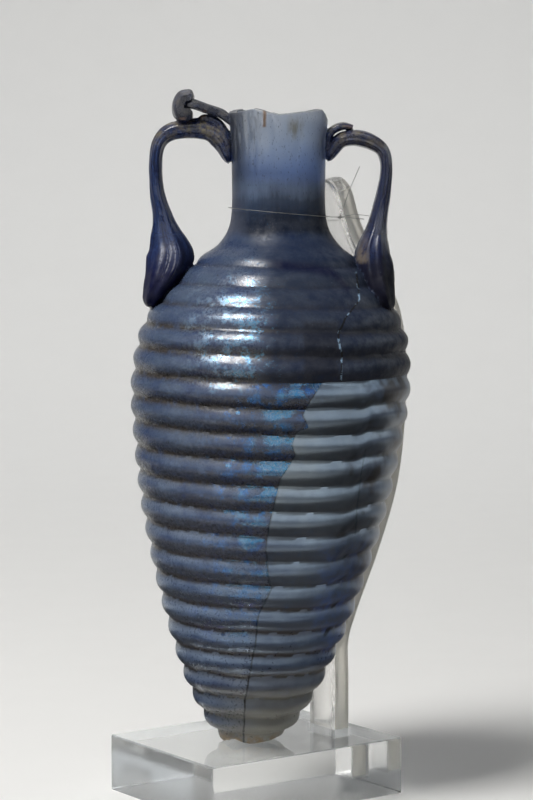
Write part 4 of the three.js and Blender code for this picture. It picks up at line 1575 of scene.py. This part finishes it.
# Floor that sweeps up behind, lamps and camera. Metres.
studio = {
    "floorTint": (0.80, 0.80, 0.79, 1.0),
    "floorShade": (0.78, 0.78, 0.77, 1.0),
    "floorNoise": (60.0, 3.0),
    "floorRough": 0.7,
    "floorHalf": 1.6,
    "floorLevel": -0.0001,
    "floorFront": -1.2,
    "closeFloor": (-0.10, 0.12),
    "wallAt": 1.0,
    "wallTop": 1.6,
    "bendRadius": 0.45,
    "bendSteps": 12,
    "worldTint": (0.80, 0.82, 0.85, 1.0),
    "worldStrength": 0.06,
    # name: place, aim, size, power, tint
    "lamps": {
        "topBox": ((-0.26, -0.24, 0.63), (0.0, 0.0, 0.09), (0.20, 0.29), 5.1, (1.0, 0.985, 0.96)),
        "frontScreen": ((0.05, -1.10, 0.74), (0.0, 0.0, 0.40), (2.4, 1.05), 10.4, (0.96, 0.985, 1.0)),
        "rightScreen": ((1.127, -0.079, 0.60), (0.0, 0.0, 0.30), (2.0, 0.8), 6.6, (0.92, 0.97, 1.0)),
        "leftScreen": ((-1.05, -0.42, 0.55), (0.0, 0.0, 0.25), (1.2, 0.9), 3.0, (0.88, 0.95, 1.0)),
        "backWash": ((0.0, 0.70, 1.10), (0.0, 0.78, 0.0), (1.2, 0.5), 2.4, (1.0, 1.0, 1.0)),
    },
    # lamps that the glass mirrors but that don't light the floor
    "screens": ("frontScreen", "rightScreen", "leftScreen"),
    "spread": {"backWash": math.radians(100)},
    "lens": 114.75,
    "sensor": 36.0,
    "cameraAt": (0.00224, -0.53295, 0.1302),
    "cameraPitch": math.radians(5.0),
    "clipStart": 0.01,
}


def makePaper():
    material, sheet, shader, place = newMaterial("palePaper")
    fleck = sheet.noise(place, *studio["floorNoise"])
    sheet.feed(shader.inputs["Base Color"], sheet.colour(fleck, studio["floorShade"], studio["floorTint"]))
    shader.inputs["Roughness"].default_value = studio["floorRough"]
    return material


def makeSheet(name, profile, material):
    half = studio["floorHalf"]
    corners = [(side * half, y, z) for y, z in profile for side in (-1, 1)]
    faces = [(2 * i, 2 * i + 1, 2 * i + 3, 2 * i + 2) for i in range(len(profile) - 1)]
    mesh = bpy.data.meshes.new(name)
    mesh.from_pydata(corners, [], faces)
    mesh.materials.append(material)
    for face in mesh.polygons:
        face.use_smooth = True
    made = makeObject(name, mesh)
    return made


# the paper close to the piece isn't mirrored in the glass, so the undersides of the ribs stay dark
def makeFloor():
    material = makePaper()
    bend = studio["bendRadius"]
    level = studio["floorLevel"]
    near, far = studio["closeFloor"]
    makeSheet("floorFront", [(studio["floorFront"], level), (near, level)], material)
    makeSheet("floorClose", [(near, level), (far, level)], material).visible_glossy = False
    profile = [(far, level)]
    for step in range(studio["bendSteps"] + 1):
        angle = quarterTurn * step / studio["bendSteps"]
        back = studio["wallAt"] - bend + bend * math.sin(angle)
        profile.append((back, level + bend - bend * math.cos(angle)))
    profile.append((studio["wallAt"], studio["wallTop"]))
    makeSheet("floorSweep", profile, material)


def makeStudio():
    makeFloor()
    for name, (place, aim, size, power, tint) in studio["lamps"].items():
        lamp = bpy.data.lights.new(name, "AREA")
        lamp.shape = "RECTANGLE"
        lamp.size, lamp.size_y = size
        lamp.energy = power
        lamp.color = tint
        obj = makeObject(name, lamp)
        obj.location = place
        obj.rotation_euler = (Vector(aim) - Vector(place)).to_track_quat("-Z", "Y").to_euler()
        obj.visible_diffuse = name not in studio["screens"]
        lamp.spread = studio["spread"].get(name, math.pi)
    world = bpy.data.worlds.new("studioAir")
    bpy.context.scene.world = world
    world.use_nodes = True
    air = world.node_tree.nodes["Background"]
    air.inputs["Color"].default_value = studio["worldTint"]
    air.inputs["Strength"].default_value = studio["worldStrength"]
    camera = bpy.data.cameras.new("photoView")
    camera.lens = studio["lens"]
    camera.sensor_width = studio["sensor"]
    camera.clip_start = studio["clipStart"]
    eye = makeObject("photoView", camera)
    eye.location = studio["cameraAt"]
    eye.rotation_euler = (quarterTurn - studio["cameraPitch"], 0.0, 0.0)
    bpy.context.scene.camera = eye
    bpy.context.scene.view_settings.view_transform = "Standard"
    print("studio ready")


def placePiece(piece, node):
    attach(piece, "root")
    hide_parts(node)
    print("placed", piece.name)


makeStudio()
placePiece(makeFlask(), "glass_flask")
block = makeBlock()
strip = makeStrip()
# light passes the clear stand; the block's grey side and underside tints are painted shade in place of its
# shadow
block.visible_shadow = False
strip.visible_shadow = False
placePiece(block, "stand_block")
placePiece(strip, "stand_strip")
placePiece(makeThread(), "tie_thread")
